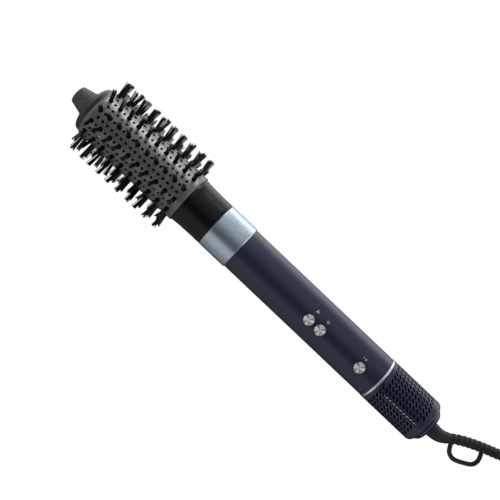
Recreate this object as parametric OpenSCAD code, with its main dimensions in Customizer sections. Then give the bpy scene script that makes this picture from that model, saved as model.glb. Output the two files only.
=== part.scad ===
// Hot air styler: a perforated round brush head with bristle tufts on a slim
// handle, with a slotted inlet sleeve at the tail and a cord on a swivel.
// Pieces on the handle's axis are drawn along +Z from the nose (0) to the tail,
// with +X as the side that carries the buttons. posed() then lays the axis down
// so that the styler rests on its rear bristles and on its inlet sleeve.

/* [Brush barrel] */
// Outside diameter of the perforated barrel
barrel_d = 38; // [34:0.5:42]
// Length of the barrel
barrel_len = 93.9; // [93:0.1:110]
// Wall of the barrel
barrel_wall = 1.2; // [0.8:0.1:1.4]
// Length of the barrel's rounded front shoulder
shoulder_len = 3.4; // [3.2:0.1:4]
// Radius of the barrel's open front end
barrel_mouth_r = 15.3; // [14:0.1:15.6]

/* [Bristles] */
// Rows of tufts round the barrel
tuft_rows = 12; // [12]
// Tufts in each row
tufts_per_row = 10; // [8:1:10]
// From the front of the barrel to the first tuft
first_tuft = 8; // [7.8:0.1:8.6]
// From the last tuft to the back of the barrel
tuft_back = 5.9; // [5.6:0.1:6.2]
// Radius of the circle through the bristle tips
tip_r = 32.2; // [29:0.1:35]
// Diameter of the holes that the tufts come through
tuft_hole_d = 3.9; // [3.7:0.1:4.2]
// Diameter of the small air holes
air_hole_d = 2; // [1.4:0.1:2.2]
// Thickness of one bristle strand
strand_d = 0.9; // [0.6:0.05:1]
// Half spacing of a tuft's strands at the root
strand_root = 0.8; // [0.7:0.05:0.9]
// Half spacing of a tuft's strands at the tips
strand_spread = 2.1; // [1.2:0.1:2.4]
// Thickness of the strip that holds a row of tufts
strip_t = 1.5; // [1:0.1:2]
// Width of that strip
strip_w = 5.6; // [4.5:0.1:6.4]

/* [Cool tip] */
// Length of the cool tip in front of the barrel
cool_tip_len = 16.6; // [16:0.1:19]
// Radius of the nose near its front
nose_r = 7.4; // [6.5:0.1:8]
// Radius of the nose where its flare starts
nose_root_r = 9.1; // [8.6:0.1:9.6]
// Radius of the flare's rim
rim_r = 18.4; // [18.1:0.1:18.6]
// Diameter of the tie rod down the middle of the brush
tie_rod_d = 3; // [2:0.1:4]

/* [Neck] */
// Length of the glossy neck
neck_len = 26.5; // [26:0.1:32]
// Radius of the neck at the barrel
neck_r = 18.8; // [18.3:0.1:19]
// Radius of the neck at the collar
neck_back_r = 18.05; // [17.6:0.05:18.3]
// Length of the neck's tongue inside the barrel
tongue_len = 2.6; // [2:0.1:2.8]
// Gap between the neck and the collar, where the brush pulls off
pull_gap = 0.2; // [0.1:0.05:0.4]

/* [Collar and outlet] */
// Length of the metal collar
collar_len = 24.4; // [23:0.1:28]
// Radius of the collar
collar_r = 18.05; // [17.8:0.05:18.3]
// Wall of the collar
collar_wall = 1.05; // [0.8:0.05:1.2]
// Radius of the outlet spigot that the brush plugs on to
spigot_r = 15.45; // [15.2:0.05:15.5]
// Bore radius of the outlet spigot
spigot_bore_r = 13.4; // [13.2:0.1:13.6]
// Length of the spigot in front of the collar
spigot_len = 22.5; // [20:0.1:23]

/* [Handle] */
// Length of the handle shell
handle_len = 135; // [133:0.5:160]
// Radius of the handle
handle_r = 17.3; // [17.2:0.05:17.6]
// Wall of the handle shell
handle_wall = 1.8; // [1.6:0.1:2]
// Length of the bright trim ring behind the handle
trim_len = 1.5; // [1.2:0.1:2]
// Radius of the trim ring
trim_r = 17.6; // [17.5:0.05:17.9]

/* [Buttons] */
// Diameter of a button's face
button_d = 8.4; // [7.5:0.1:8.6]
// Gap round a button
button_gap = 0.2; // [0.15:0.05:0.25]
// How far a button can be pressed
button_travel = 0.4; // [0.2:0.05:0.45]
// Face of a button above the axis
button_top = 17.5; // [17.4:0.05:17.7]
// Roll of the buttons about the axis from straight up
button_roll = 6; // [0:1:12]
// From the power button to the back of the handle
power_button_back = 16.6; // [16.5:0.1:18]
// From the heat button to the power button
heat_button_back = 38.2; // [36:0.1:42]
// From the fan speed button to the heat button
button_pitch = 10.6; // [10.2:0.1:11]

/* [Inlet sleeve] */
// Length of the slotted sleeve
sleeve_len = 46.5; // [46:0.1:50]
// Radius of the sleeve
sleeve_r = 17.4; // [17.3:0.05:17.6]
// Wall of the sleeve
sleeve_wall = 1.3; // [1.1:0.1:1.4]
// Rounding at the rear edge of the sleeve
sleeve_round = 3.4; // [3:0.1:3.6]
// Rows of slots round the sleeve
slot_rows = 30; // [30]
// Slots in each row
slots_per_row = 11; // [9:1:11]
// Distance from slot to slot along a row
slot_pitch = 3.29; // [3.2:0.01:3.36]
// Length of a slot
slot_len = 3.8; // [3:0.1:3.9]
// Width of a slot
slot_w = 1.3; // [0.8:0.1:1.4]

/* [Tail] */
// How far the tail cap stands behind the sleeve
cap_proud = 3.4; // [3:0.1:5]
// Radius of the tail cap's rim
cap_r = 13.9; // [13.5:0.1:14]
// Radius of the strain relief where it leaves the cap
relief_r = 5.85; // [5.4:0.05:6]
// Running gap round the cord swivel
swivel_gap = 0.3; // [0.2:0.05:0.35]

/* [Chassis] */
// Length of the tray inside the handle
chassis_len = 92; // [90:0.5:96]
// From the heater to the tray
heater_space = 7.5; // [6:0.5:10]
// From the tray to the back of the handle
tray_back = 6; // [5.5:0.5:7]
// Thickness of the tray's ribs
rib_t = 3; // [2.5:0.1:3.5]

/* [Board] */
// Width of the circuit board
board_w = 16; // [15:0.5:17]
// Length of the capacitor that lies on the board
capacitor_len = 12; // [10:0.5:13]
// Length of the choke beside it
choke_len = 9; // [8:0.5:10]

/* [Fan] */
// Length of the fan duct
duct_len = 40; // [38:0.5:42]
// From the fan duct to the end of the tray
duct_back = 8; // [7:0.5:9]
// Length of the motor
motor_len = 20; // [19:0.5:21]
// Outer radius of the fan duct
duct_r = 11; // [10.8:0.1:11.1]
// Wall of the fan duct
duct_wall = 0.6; // [0.5:0.1:0.9]
// Gap between the blade tips and the duct
blade_gap = 0.3; // [0.2:0.05:0.5]
// Blades on the fan
blade_count = 9; // [7:1:11]
// Diameter of the fan's shaft
shaft_d = 2; // [1.5:0.1:2.4]
// Radial clearance of the shaft in its bearings
bearing_fit = 0.05; // [0.02:0.01:0.1]

/* [Heater] */
// Radius of the mica tube
mica_r = 13.1; // [12.8:0.05:13.15]
// Turns of the heating wire
heater_turns = 7; // [4:1:8]

/* [Cord] */
// Diameter of the cord
cord_d = 6.2; // [5.6:0.1:6.4]
// Diameter of the hanging loop's bar
loop_d = 3.4; // [2.4:0.1:3.6]
// Turns of the stored coil in each of its layers
coil_turns = 1.875; // [1.875]
// Layers of the stored coil
coil_layers = 4; // [2:2:4]
// Outer radius of the coil's centreline
coil_r = 42; // [40:0.5:44]
// Spacing of neighbouring turns
coil_pitch = 7.1; // [6.8:0.1:7.2]
// Spacing of the layers
coil_step = 6.7; // [6.7:0.1:7]

/* [Plug] */
// Diameter of a plug pin
pin_d = 4.8; // [4:0.1:5]
// Length of a plug pin
pin_len = 19; // [17:0.5:20]
// How much thinner a pin is at its root, inside the plug body
pin_step = 0.6; // [0.4:0.1:1]
// Distance between the two pins
pin_pitch = 19; // [18:0.1:20]

/* [Hidden] */
$fn = 48;
// Sliver that keeps cutting tools clear of the faces they cut
eps = 0.01;
// How far the round ends of a tube of flats stand out past its flats
lap = 0.06;
// Clearance between pieces that sit in one another and do not move
seat = 0.15;
// Clearance between flat ends of moving pieces
end_gap = 0.3;

// Stations along the axis, each from the one before it
barrel_z = cool_tip_len;
neck_z = barrel_z + barrel_len;
collar_z = neck_z + neck_len;
handle_z = collar_z + collar_len;
trim_z = handle_z + handle_len;
sleeve_z = trim_z + trim_len;
sleeve_end = sleeve_z + sleeve_len;
tail_z = sleeve_end + cap_proud;
chassis_end = trim_z - tray_back;
chassis_z = chassis_end - chassis_len;
duct_end = chassis_end - duct_back;
duct_z = duct_end - duct_len;

// Radii that follow from the driving ones
barrel_r = barrel_d / 2;
barrel_in = barrel_r - barrel_wall;
handle_in = handle_r - handle_wall;
core_r = handle_in - 0.2;
core_in = core_r - 1.3;
sleeve_in = sleeve_r - sleeve_wall;
socket_r = spigot_r + end_gap;
nose_tip_r = nose_r - 2;
rod_z = cool_tip_len - 8;
spider_z = neck_z - 2;

// Tufts: their spacing and stations, and the lean of the strands in a tuft
tuft_pitch = (barrel_len - first_tuft - tuft_back) / (tufts_per_row - 1);
last_tuft = neck_z - tuft_back;
row_angle = 360 / tuft_rows;
root_r = barrel_in + 0.3;
tip_side = atan2(strand_spread + strand_d / 2, tip_r);

// The axis is pitched so that the last tufts and the sleeve's rounded rear touch
// one plane. lift_a and lift_b are the vertical and level distances between the
// two contacts, and sleeve_round is what the rounded edge adds.
tip_reach = norm([tip_r, strand_spread]) * cos(row_angle / 2 - tip_side) + 0.06;
lift_a = tip_reach - (sleeve_r + lap - sleeve_round);
lift_b = sleeve_end - sleeve_round - (last_tuft + strand_spread);
pitch = acos(sleeve_round / norm([lift_a, lift_b])) - atan2(lift_b, lift_a);
nose_h = (last_tuft + strand_spread) * sin(pitch) + tip_reach * cos(pitch);
mid_x = (tail_z * cos(pitch) + (cap_r - 1.9 - nose_tip_r) * sin(pitch)) / 2;

module posed() {
    translate([-mid_x, 0, nose_h]) rotate([0, 90 + pitch, 0]) rotate([0, 0, 180]) children();
}

// A point given along the axis, in the frame of the finished part
function placed(p) = [
    -mid_x + p.z * cos(pitch) + p.x * sin(pitch),
    -p.y,
    nose_h - p.z * sin(pitch) + p.x * cos(pitch)
];

// A tube round the axis between two stations
module tube(r_out, r_in, z0, z1) {
    rotate_extrude() translate([r_in, z0]) square([r_out - r_in, z1 - z0]);
}

module disc(r, z0, z1) {
    translate([0, 0, z0]) cylinder(r = r, h = z1 - z0);
}

// A peg that points away from the axis
module spoke(r, r0, r1, z, angle = 0) {
    rotate([0, 0, angle]) translate([r0, 0, z]) rotate([0, 90, 0]) cylinder(r = r, h = r1 - r0);
}

// A regular outline whose flats lie at the given radius
function flats(r, sides) = [
    for (i = [0 : sides - 1])
        let(a = (i + 0.5) * 360 / sides)
        [cos(a), sin(a)] * r / cos(180 / sides)
];

// A tube of many flats, so that what is cut through it is cut through a plane
module flat_tube(r_out, r_in, z0, z1, sides) {
    translate([0, 0, z0]) linear_extrude(z1 - z0) difference() {
        polygon(flats(r_out, sides));
        polygon(flats(r_in, sides));
    }
}

// Catmull-Rom curve through points, with steps pieces between two of them
function spline_at(p, i, t) =
    let(
        n = len(p) - 1,
        a = i > 0 ? p[i - 1] : 2 * p[0] - p[1],
        b = p[i],
        c = p[i + 1],
        d = i + 2 <= n ? p[i + 2] : 2 * p[n] - p[n - 1]
    )
    0.5 * (2 * b + (c - a) * t + (2 * a - 5 * b + 4 * c - d) * t * t
        + (3 * b - a - 3 * c + d) * t * t * t);
function spline(p, steps) = concat(
    [for (i = [0 : len(p) - 2], k = [0 : steps - 1]) spline_at(p, i, k / steps)],
    [p[len(p) - 1]]
);
function unit(v) = v / norm(v);
function run_length(p) = len(p) < 2 ? 0 : [for (i = [1 : len(p) - 1]) norm(p[i] - p[i - 1])] * [for (i = [1 : len(p) - 1]) 1];

// One tube along points, with a radius for each point; up is any direction that
// the tube never runs along
module sweep(path, radii, sides, up = [0, 0, 1]) {
    n = len(path);
    rings = [
        for (i = [0 : n - 1])
            let(
                t = unit(path[min(i + 1, n - 1)] - path[max(i - 1, 0)]),
                side = unit(cross(t, up)),
                top = cross(side, t)
            )
            for (k = [0 : sides - 1])
                let(a = k * 360 / sides - 90)
                path[i] + radii[i] * (cos(a) * side + sin(a) * top)
    ];
    walls = [
        for (i = [0 : n - 2], k = [0 : sides - 1])
            let(a = i * sides + k, b = i * sides + (k + 1) % sides)
            each [[a, b, b + sides], [a, b + sides, a + sides]]
    ];
    first = [for (k = [1 : sides - 2]) [0, k + 1, k]];
    last = [for (k = [1 : sides - 2]) (n - 1) * sides * [1, 1, 1] + [0, k, k + 1]];
    polyhedron(points = rings, faces = concat(walls, first, last));
}

module cool_tip() {
    nose_len = cool_tip_len - 7.2;
    flare = [
        [0, 0], [0.065, 0.21], [0.14, 0.38], [0.27, 0.49], [0.47, 0.57],
        [0.715, 0.68], [0.89, 0.82], [0.98, 0.95], [1, 1]
    ];
    flare_len = cool_tip_len - 0.4 - nose_len;
    hub_r = tie_rod_d / 2 + 1.6;
    color("#3a3a3a") posed() difference() {
        rotate_extrude() polygon(concat(
            [[0, 0]],
            [for (a = [0 : 15 : 90]) [nose_tip_r + 2 * sin(a), 2 - 2 * cos(a)]],
            [for (f = flare) [nose_root_r + (rim_r - nose_root_r) * f.x, nose_len + flare_len * f.y]],
            [
                [rim_r, barrel_z], [barrel_mouth_r - 0.2, barrel_z],
                [barrel_mouth_r - 0.2, barrel_z + shoulder_len - 0.5], [0, barrel_z + shoulder_len - 0.5]
            ]
        ));
        rotate_extrude() polygon([
            [hub_r, 3], [nose_r - 2, 3], [nose_root_r - 2.2, nose_len],
            [nose_root_r - 1, nose_len + 2], [nose_root_r + 1.4, nose_len + 4],
            [barrel_mouth_r - 2, barrel_z + 0.3], [barrel_mouth_r - 2, barrel_z + shoulder_len],
            [hub_r, barrel_z + shoulder_len]
        ]);
        disc(tie_rod_d / 2 + 0.05, rod_z, barrel_z + shoulder_len);
    }
}

module barrel() {
    perforated_z = barrel_z + shoulder_len;
    band_z = last_tuft + tuft_hole_d / 2 + 0.6;
    color("#6a6a6a") posed() difference() {
        union() {
            rotate_extrude() polygon([
                [barrel_mouth_r, barrel_z], [rim_r - 0.2, barrel_z],
                [barrel_r - 0.35, barrel_z + shoulder_len * 0.3], [barrel_r + lap, perforated_z],
                [barrel_in - lap, perforated_z], [barrel_in - 0.3, barrel_z + shoulder_len * 0.8],
                [barrel_mouth_r, barrel_z + shoulder_len * 0.4]
            ]);
            flat_tube(barrel_r, barrel_in, perforated_z, band_z, 4 * tuft_rows);
            tube(barrel_r + lap, barrel_in - lap, band_z, neck_z);
        }
        for (row = [0 : tuft_rows - 1]) {
            for (k = [0 : 2 * tufts_per_row - 2]) {
                hole_r = k % 2 == 0 ? tuft_hole_d / 2 : air_hole_d / 2;
                z = barrel_z + first_tuft + k * tuft_pitch / 2;
                spoke(hole_r, barrel_in - 1, barrel_r + 1, z, (row + 0.5) * row_angle);
            }
            for (k = [0 : 2 * tufts_per_row - 3]) {
                z = barrel_z + first_tuft + (k + 0.5) * tuft_pitch / 2;
                spoke(air_hole_d / 2, barrel_in - 1, barrel_r + 1, z, row * row_angle);
            }
        }
    }
}

// A strip with a row of tufts, each a boss with four strands that lean apart
module bristle_row(row) {
    z0 = barrel_z + shoulder_len + end_gap;
    z1 = neck_z - tongue_len - end_gap;
    half = asin(strip_w / 2 / barrel_in);
    strand_len = norm([tip_r - root_r, strand_spread - strand_root]);
    lean = atan2(strand_spread - strand_root, tip_r - root_r);
    color("#161616") posed() rotate([0, 0, (row - 0.5) * row_angle]) {
        rotate([0, 0, -half]) rotate_extrude(angle = 2 * half)
            translate([barrel_in - seat - strip_t, z0]) square([strip_t, z1 - z0]);
        for (i = [0 : tufts_per_row - 1]) {
            z = barrel_z + first_tuft + i * tuft_pitch;
            spoke(tuft_hole_d / 2 - 0.2, barrel_in - seat - strip_t / 2, barrel_r - 0.4, z);
            for (side = [-1, 1], end = [-1, 1])
                translate([root_r, side * strand_root, z + end * strand_root])
                    rotate([0, 0, side * lean]) rotate([0, 90 - end * lean, 0])
                        cylinder(d = strand_d, h = strand_len, $fn = 3);
        }
    }
}

module neck() {
    color("#1c1c1c") posed() rotate_extrude() polygon([
        [socket_r, neck_z - tongue_len], [barrel_in - seat, neck_z - tongue_len],
        [barrel_in - seat, neck_z], [neck_r - 0.3, neck_z], [neck_r, neck_z + 0.4],
        [neck_r - 0.3, neck_z + 4.6], [neck_back_r + 0.15, neck_z + 13],
        [neck_back_r, neck_z + 18], [neck_back_r, collar_z - pull_gap - 0.3],
        [neck_back_r - 0.3, collar_z - pull_gap], [socket_r, collar_z - pull_gap]
    ]);
}

// Three-armed spider that the tie rod pulls against
module spider() {
    z0 = spider_z;
    ring_r = socket_r - seat;
    color("#2a2a2a") posed() difference() {
        union() {
            tube(ring_r, ring_r - 1.6, z0, z0 + 3);
            disc(tie_rod_d / 2 + 2, z0, z0 + 3);
            for (a = [60 : 120 : 300])
                rotate([0, 0, a]) translate([0, -1, z0]) cube([ring_r - 0.8, 2, 3]);
        }
        disc(tie_rod_d / 2 + 0.05, z0 - 1, z0 + 4);
    }
}

module tie_rod() {
    nut_z = spider_z + 3;
    color("silver") posed() {
        disc(tie_rod_d / 2, rod_z, nut_z);
        translate([0, 0, nut_z]) cylinder(r = tie_rod_d / 2 + 1.3, h = 2.2, $fn = 6);
    }
}

module collar() {
    bevel = 0.4;
    color("#8798a6") posed() rotate_extrude() polygon([
        [collar_r - collar_wall, collar_z], [collar_r - bevel, collar_z],
        [collar_r, collar_z + bevel], [collar_r, handle_z - bevel],
        [collar_r - bevel, handle_z], [collar_r - collar_wall, handle_z]
    ]);
}

// Spigot that the brush plugs on to, with the guard bars across its mouth
module outlet_spigot() {
    z0 = collar_z - spigot_len;
    body_r = collar_r - collar_wall - 0.1;
    groove_z = z0 + 4;
    color("#202020") posed() {
        difference() {
            union() {
                tube(spigot_r, spigot_bore_r, z0, handle_z + 8);
                tube(body_r, spigot_bore_r, collar_z, handle_z - 0.1);
            }
            tube(spigot_r + 1, spigot_r - 1.1, groove_z, groove_z + 2.4);
        }
        tube(4.6, 3.4, z0, z0 + 1.6);
        tube(9.4, 8.2, z0, z0 + 1.6);
        for (a = [30 : 60 : 330])
            rotate([0, 0, a]) translate([3.8, -0.6, z0]) cube([spigot_bore_r - 3.3, 1.2, 1.6]);
    }
}

module seal_ring() {
    color("#b04a3a") posed() rotate_extrude()
        translate([spigot_r - 0.5, collar_z - spigot_len + 5.2]) circle(d = 1.15);
}

// Heater: a cross of boards with the wire wound round it, in a mica tube
mica_z = collar_z + 2;
mica_len = chassis_z - heater_space - mica_z;
board_z0 = mica_z + 4;
board_z1 = mica_z + mica_len - 4;
heater_r = mica_r - 1.9;
wire_r = 0.4;

module mica_tube() {
    color("#c9b58a") posed() tube(mica_r, mica_r - 0.3, mica_z, mica_z + mica_len);
}

module heater_boards() {
    color("#d9c9a0") posed() for (a = [0, 90]) rotate([0, 0, a + 45]) {
        translate([-heater_r, -0.4, board_z0]) cube([2 * heater_r, 0.8, board_z1 - board_z0]);
        for (z = [board_z0, board_z1 - 2])
            translate([0.5 - mica_r, -0.4, z]) cube([2 * mica_r - 1, 0.8, 2]);
    }
}

module heating_wire() {
    per_turn = 16;
    z0 = board_z0 + 4;
    rise = (board_z1 - board_z0 - 8) / heater_turns;
    path = [
        for (i = [0 : heater_turns * per_turn])
            let(a = i * 360 / per_turn, r = heater_r + wire_r + 0.1)
            [r * cos(a), r * sin(a), z0 + i * rise / per_turn]
    ];
    color("#8a7f70") posed() sweep(path, [for (p = path) wire_r], 4);
}

module thermostat() {
    color("silver") posed() rotate([0, 0, 45]) {
        translate([3, 0.5, board_z1 - 13]) cube([6, 3, 8]);
        translate([6, 3.5, board_z1 - 9]) rotate([-90, 0, 0]) cylinder(d = 5, h = 1);
    }
}

module thermal_fuse() {
    color("#c8c8c8") posed() rotate([0, 0, 135])
        translate([5, 1.8, board_z1 - 14]) cylinder(d = 2.4, h = 10);
}

power_button_z = trim_z - power_button_back;
heat_button_z = power_button_z - heat_button_back;
fan_button_z = heat_button_z - button_pitch;
button_r = button_d / 2;
hole_r = button_r + button_gap;
button_zs = [fan_button_z, heat_button_z, power_button_z];

// Heights above the axis under a button: board, switch, plunger and flange
board_x = duct_r + 0.3;
board_t = 1;
switch_x = board_x + board_t;
switch_t = 1.2;
flange_x = switch_x + switch_t + button_travel + 0.05;
flange_r = button_r + 0.6;
plunger_r = 1.2;

module handle_shell() {
    color("#2b2e3b") posed() difference() {
        tube(handle_r, handle_in, handle_z, trim_z);
        for (z = button_zs) spoke(hole_r, flange_x, handle_r + 1, z, button_roll);
    }
}

rib_zs = [chassis_z + 3, duct_z + 2, duct_end - rib_t - 2];
lead_r = 0.7;
lead_ring = 13.05;
lead_angles = [168, 180, 192];
mount_r = duct_r + 1;
screw_ring = 12.6;
screw_r = 0.8;

// Tray under the board, with ribs that carry the board and the fan duct
module chassis() {
    r = handle_in - 0.2;
    color("#3c3f45") posed() rotate([0, 0, button_roll]) difference() {
        union() {
            rotate([0, 0, 90]) rotate_extrude(angle = 180)
                translate([r - 1.2, chassis_z]) square([1.2, chassis_end - chassis_z]);
            for (z = rib_zs) disc(r, z, z + rib_t);
            disc(r, chassis_end - rib_t, chassis_end);
        }
        for (z = rib_zs) disc(mount_r, z - 1, z + rib_t + 1);
        disc(duct_r - 0.4, chassis_end - rib_t - 1, chassis_end + 1);
        translate([0, -5.5, chassis_z - 1]) cube([20, 11, chassis_end - chassis_z + 2]);
        translate([board_x, -8.2, chassis_z - 1]) cube([20, 16.4, chassis_end - chassis_z + 2]);
        for (a = lead_angles) rotate([0, 0, a]) translate([lead_ring, 0, chassis_z - 1])
            cylinder(r = lead_r + 0.15, h = chassis_end - chassis_z + 2);
        for (a = [90, 270]) rotate([0, 0, a]) translate([screw_ring, 0, chassis_end - rib_t - 1])
            cylinder(r = screw_r + 0.05, h = rib_t + 2);
    }
}

board_z = chassis_z + 3;
board_end = power_button_z + 9;

module circuit_board() {
    color("#2f6b45") posed() rotate([0, 0, button_roll])
        translate([board_x, -board_w / 2, board_z]) cube([board_t, board_w, board_end - board_z]);
}

module board_parts() {
    cap_r = 3.6;
    color("#5a5a60") posed() rotate([0, 0, button_roll]) {
        translate([board_x - cap_r - 0.1, 0, board_z + 8]) cylinder(r = cap_r, h = capacitor_len);
        translate([board_x - 5.1, -4, board_z + 24]) cube([5, 8, choke_len]);
        translate([switch_x + 0.05, -2.5, board_z + 8]) cube([1.2, 5, 7]);
        translate([switch_x + 0.05, -2, heat_button_z + 8]) cube([1.1, 4, 4]);
    }
}

module tact_switches() {
    color("#1a1a1a") posed() rotate([0, 0, button_roll]) for (z = button_zs) difference() {
        translate([switch_x, -2.25, z - 2.25]) cube([switch_t, 4.5, 4.5]);
        spoke(plunger_r + 0.15, switch_x - 1, switch_x + switch_t + 1, z);
    }
}

module plunger(z) {
    color("#e8e0c8") posed() rotate([0, 0, button_roll])
        spoke(plunger_r, switch_x + button_travel + 0.1, flange_x, z);
}

// Button: a flat spun face on a stem, with a flange that keeps it in the shell
module button(z) {
    face_r = button_r - 0.25;
    color("#c9cbc8") posed() rotate([0, 0, button_roll]) translate([0, 0, z]) rotate([0, 90, 0])
        rotate_extrude() polygon([
            [0, flange_x], [flange_r, flange_x], [flange_r, flange_x + 0.55],
            [button_r, flange_x + 0.55], [button_r, button_top - 0.25],
            [face_r, button_top], [0, button_top]
        ]);
}

module fan_button() button(fan_button_z);
module heat_button() button(heat_button_z);
module power_button() button(power_button_z);
module fan_plunger() plunger(fan_button_z);
module heat_plunger() plunger(heat_button_z);
module power_plunger() plunger(power_button_z);

can_r = 6.5;
can_z = duct_z + 6;
can_end = can_z + motor_len;
bearing_r = 3;
bearing_t = 2;
shaft_r = shaft_d / 2;
impeller_z = can_end + 1.5;
impeller_len = 7;
hub_r = 4.6;

// Duct round the fan, with fixed vanes that hold the motor
module fan_duct() {
    color("#4a4d52") posed() {
        tube(duct_r, duct_r - duct_wall, duct_z, duct_end);
        tube(can_r + 0.9, can_r + 0.1, can_z + 4, can_z + 14);
        for (a = [0 : 360 / 7 : 359]) rotate([0, 0, a])
            translate([can_r + 0.6, -0.4, can_z + 5]) cube([duct_r - duct_wall - can_r - 0.3, 0.8, 8]);
    }
}

module motor_can() {
    color("#9a9da0") posed() difference() {
        disc(can_r, can_z, can_end);
        disc(can_r - 0.8, can_z + bearing_t, can_end - bearing_t);
        disc(bearing_r + 0.02, can_z - 1, can_end + 1);
        for (a = [0 : 60 : 300]) rotate([0, 0, a])
            translate([4.7, 0, can_z - 1]) cylinder(d = 1.4, h = can_end - can_z + 2);
    }
}

module stator_core() {
    color("#7a4a2a") posed() tube(can_r - 0.9, 4, can_z + 4.5, can_end - 4.5);
}

module bearings() {
    color("silver") posed() for (z = [can_z, can_end - bearing_t])
        tube(bearing_r, shaft_r + bearing_fit, z, z + bearing_t);
}

module fan_shaft() {
    color("#d0d0d0") posed() disc(shaft_r, can_z - 1, impeller_z + impeller_len - 0.5);
}

module magnet_rotor() {
    color("#4a4a50") posed() tube(3.7, shaft_r + 0.02, can_z + 5, can_end - 5);
}

module impeller() {
    blade_r = duct_r - duct_wall - blade_gap;
    color("#6a6f78") posed() difference() {
        union() {
            rotate_extrude() polygon([
                [0, impeller_z], [hub_r, impeller_z], [hub_r, impeller_z + 4.5],
                [hub_r - 1, impeller_z + 6.2], [0, impeller_z + impeller_len]
            ]);
            intersection() {
                tube(blade_r, hub_r - 0.8, impeller_z, impeller_z + impeller_len);
                for (i = [0 : blade_count - 1]) rotate([0, 0, i * 360 / blade_count])
                    translate([hub_r - 0.5, 0, impeller_z + 2.6]) rotate([38, 0, 0])
                        translate([0, -0.35, -3.4]) cube([blade_r, 0.7, 6.8]);
            }
        }
        disc(shaft_r + 0.02, impeller_z - 1, impeller_z + impeller_len - 0.4);
    }
}

// Rubber rings between the duct and the ribs, cut flat under the board
module duct_mounts() {
    color("#303030") posed() rotate([0, 0, button_roll]) for (z = [rib_zs[1], rib_zs[2]]) difference() {
        tube(mount_r - 0.05, duct_r + 0.05, z, z + rib_t);
        translate([board_x - 1.4, -9, z - 1]) cube([9, 18, rib_t + 2]);
    }
}

module trim_ring() {
    color("#d6dad8") posed() rotate_extrude() polygon([
        [core_r + 0.1, trim_z], [trim_r - 0.2, trim_z], [trim_r, trim_z + 0.3],
        [trim_r, sleeve_z - 0.3], [trim_r - 0.2, sleeve_z], [core_r + 0.1, sleeve_z]
    ]);
}

core_z = trim_z - 5.5;
wall_z = tail_z - 10.8;
core_end = tail_z - 7.5;
pocket_end = tail_z - 4.8;
bush_r = 7.7;
bush_stub_r = 3.4;

// Cage behind the handle that the air comes in through, with the cord's pocket
module tail_core() {
    window_z = sleeve_z + 2;
    window_len = wall_z - 2 - window_z;
    color("#33363f") posed() difference() {
        union() {
            tube(core_r, core_in, core_z, core_end);
            tube(core_r, duct_r - 0.1, core_z, core_z + 2.5);
            disc(core_in + 0.5, wall_z, core_end);
        }
        for (a = [0 : 45 : 135]) rotate([0, 0, a + 22.5])
            translate([-20, -4.2, window_z]) cube([40, 8.4, window_len]);
        disc(bush_stub_r + swivel_gap, wall_z - 1, core_end + 1);
        for (a = lead_angles) rotate([0, 0, a + button_roll]) translate([lead_ring, 0, core_z - 1])
            cylinder(r = lead_r + 0.15, h = 5);
        for (a = [90, 270]) rotate([0, 0, a + button_roll]) translate([screw_ring, 0, core_z - 1])
            cylinder(r = screw_r + 0.15, h = 5);
    }
}

module screws() {
    color("#b0b0b0") posed() rotate([0, 0, button_roll]) for (a = [90, 270])
        rotate([0, 0, a]) translate([screw_ring, 0, 0]) {
            disc(screw_r, chassis_end - rib_t + 0.2, core_z + 2.6);
            disc(1.3, core_z + 2.5, core_z + 3.7);
        }
}

module leads() {
    color("#7a2a2a") posed() rotate([0, 0, button_roll]) for (a = lead_angles)
        rotate([0, 0, a]) translate([lead_ring, 0, 0]) disc(lead_r, mica_z + mica_len + end_gap, wall_z - end_gap);
}

// Beveled end disc, with the pocket of the cord swivel in its inner side
module tail_cap() {
    bore_r = relief_r + swivel_gap;
    recess_r = bush_r + swivel_gap;
    color("#2c2f40") posed() rotate_extrude() polygon([
        [bore_r, tail_z], [cap_r - 1.9, tail_z], [cap_r - 0.6, tail_z - 1.4],
        [cap_r, tail_z - 2.8], [cap_r, core_end], [recess_r, core_end],
        [recess_r, pocket_end], [bore_r, pocket_end]
    ]);
}

module filter_sleeve() {
    z0 = sleeve_z + 0.2;
    flat_end = sleeve_end - sleeve_round;
    core = sleeve_r + lap - sleeve_round;
    slots_z = sleeve_z + 3.3;
    turn = 360 / slot_rows;
    half = (slot_len - slot_w) / 2;
    color("#2c2f40") posed() {
        difference() {
            flat_tube(sleeve_r, sleeve_in, z0, flat_end, 2 * slot_rows);
            for (row = [0 : slot_rows - 1], k = [0 : slots_per_row - 1])
                rotate([0, 0, row * turn])
                    translate([sleeve_in - 1, 0, slots_z + slot_pitch * (k + slot_shift(row))])
                        rotate([0, 90, 0]) rotate([0, 0, -45]) linear_extrude(sleeve_wall + 2)
                            polygon([
                                [-half - slot_w / 2, 0], [-half, -slot_w / 2], [half, -slot_w / 2],
                                [half + slot_w / 2, 0], [half, slot_w / 2], [-half, slot_w / 2]
                            ]);
        }
        rotate_extrude() polygon(concat(
            [[sleeve_in - lap, flat_end - 1.2], [sleeve_in + 0.5, flat_end - 1.2], [sleeve_in + 0.5, flat_end]],
            [for (a = [0 : 15 : 75]) [core + sleeve_round * cos(a), flat_end + sleeve_round * sin(a)]],
            [[cap_r + end_gap, sleeve_end], [cap_r + end_gap, sleeve_end - 1.6]]
        ));
    }
}

// Rows start a little further on, one after another, round the sleeve
function slot_shift(row) = (row * 4 / slot_rows) % 1;

module filter_mesh() {
    color("#0c0e22") posed() tube(sleeve_in - 0.15, sleeve_in - 0.4, sleeve_z + 0.5, sleeve_end - sleeve_round - 1.5);
}

module swivel_bush() {
    color("#3a3a3a") posed() {
        tube(bush_r, 2.2, core_end + end_gap, pocket_end - end_gap);
        tube(bush_stub_r, 2.2, wall_z + 0.3, core_end + end_gap);
    }
}

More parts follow.
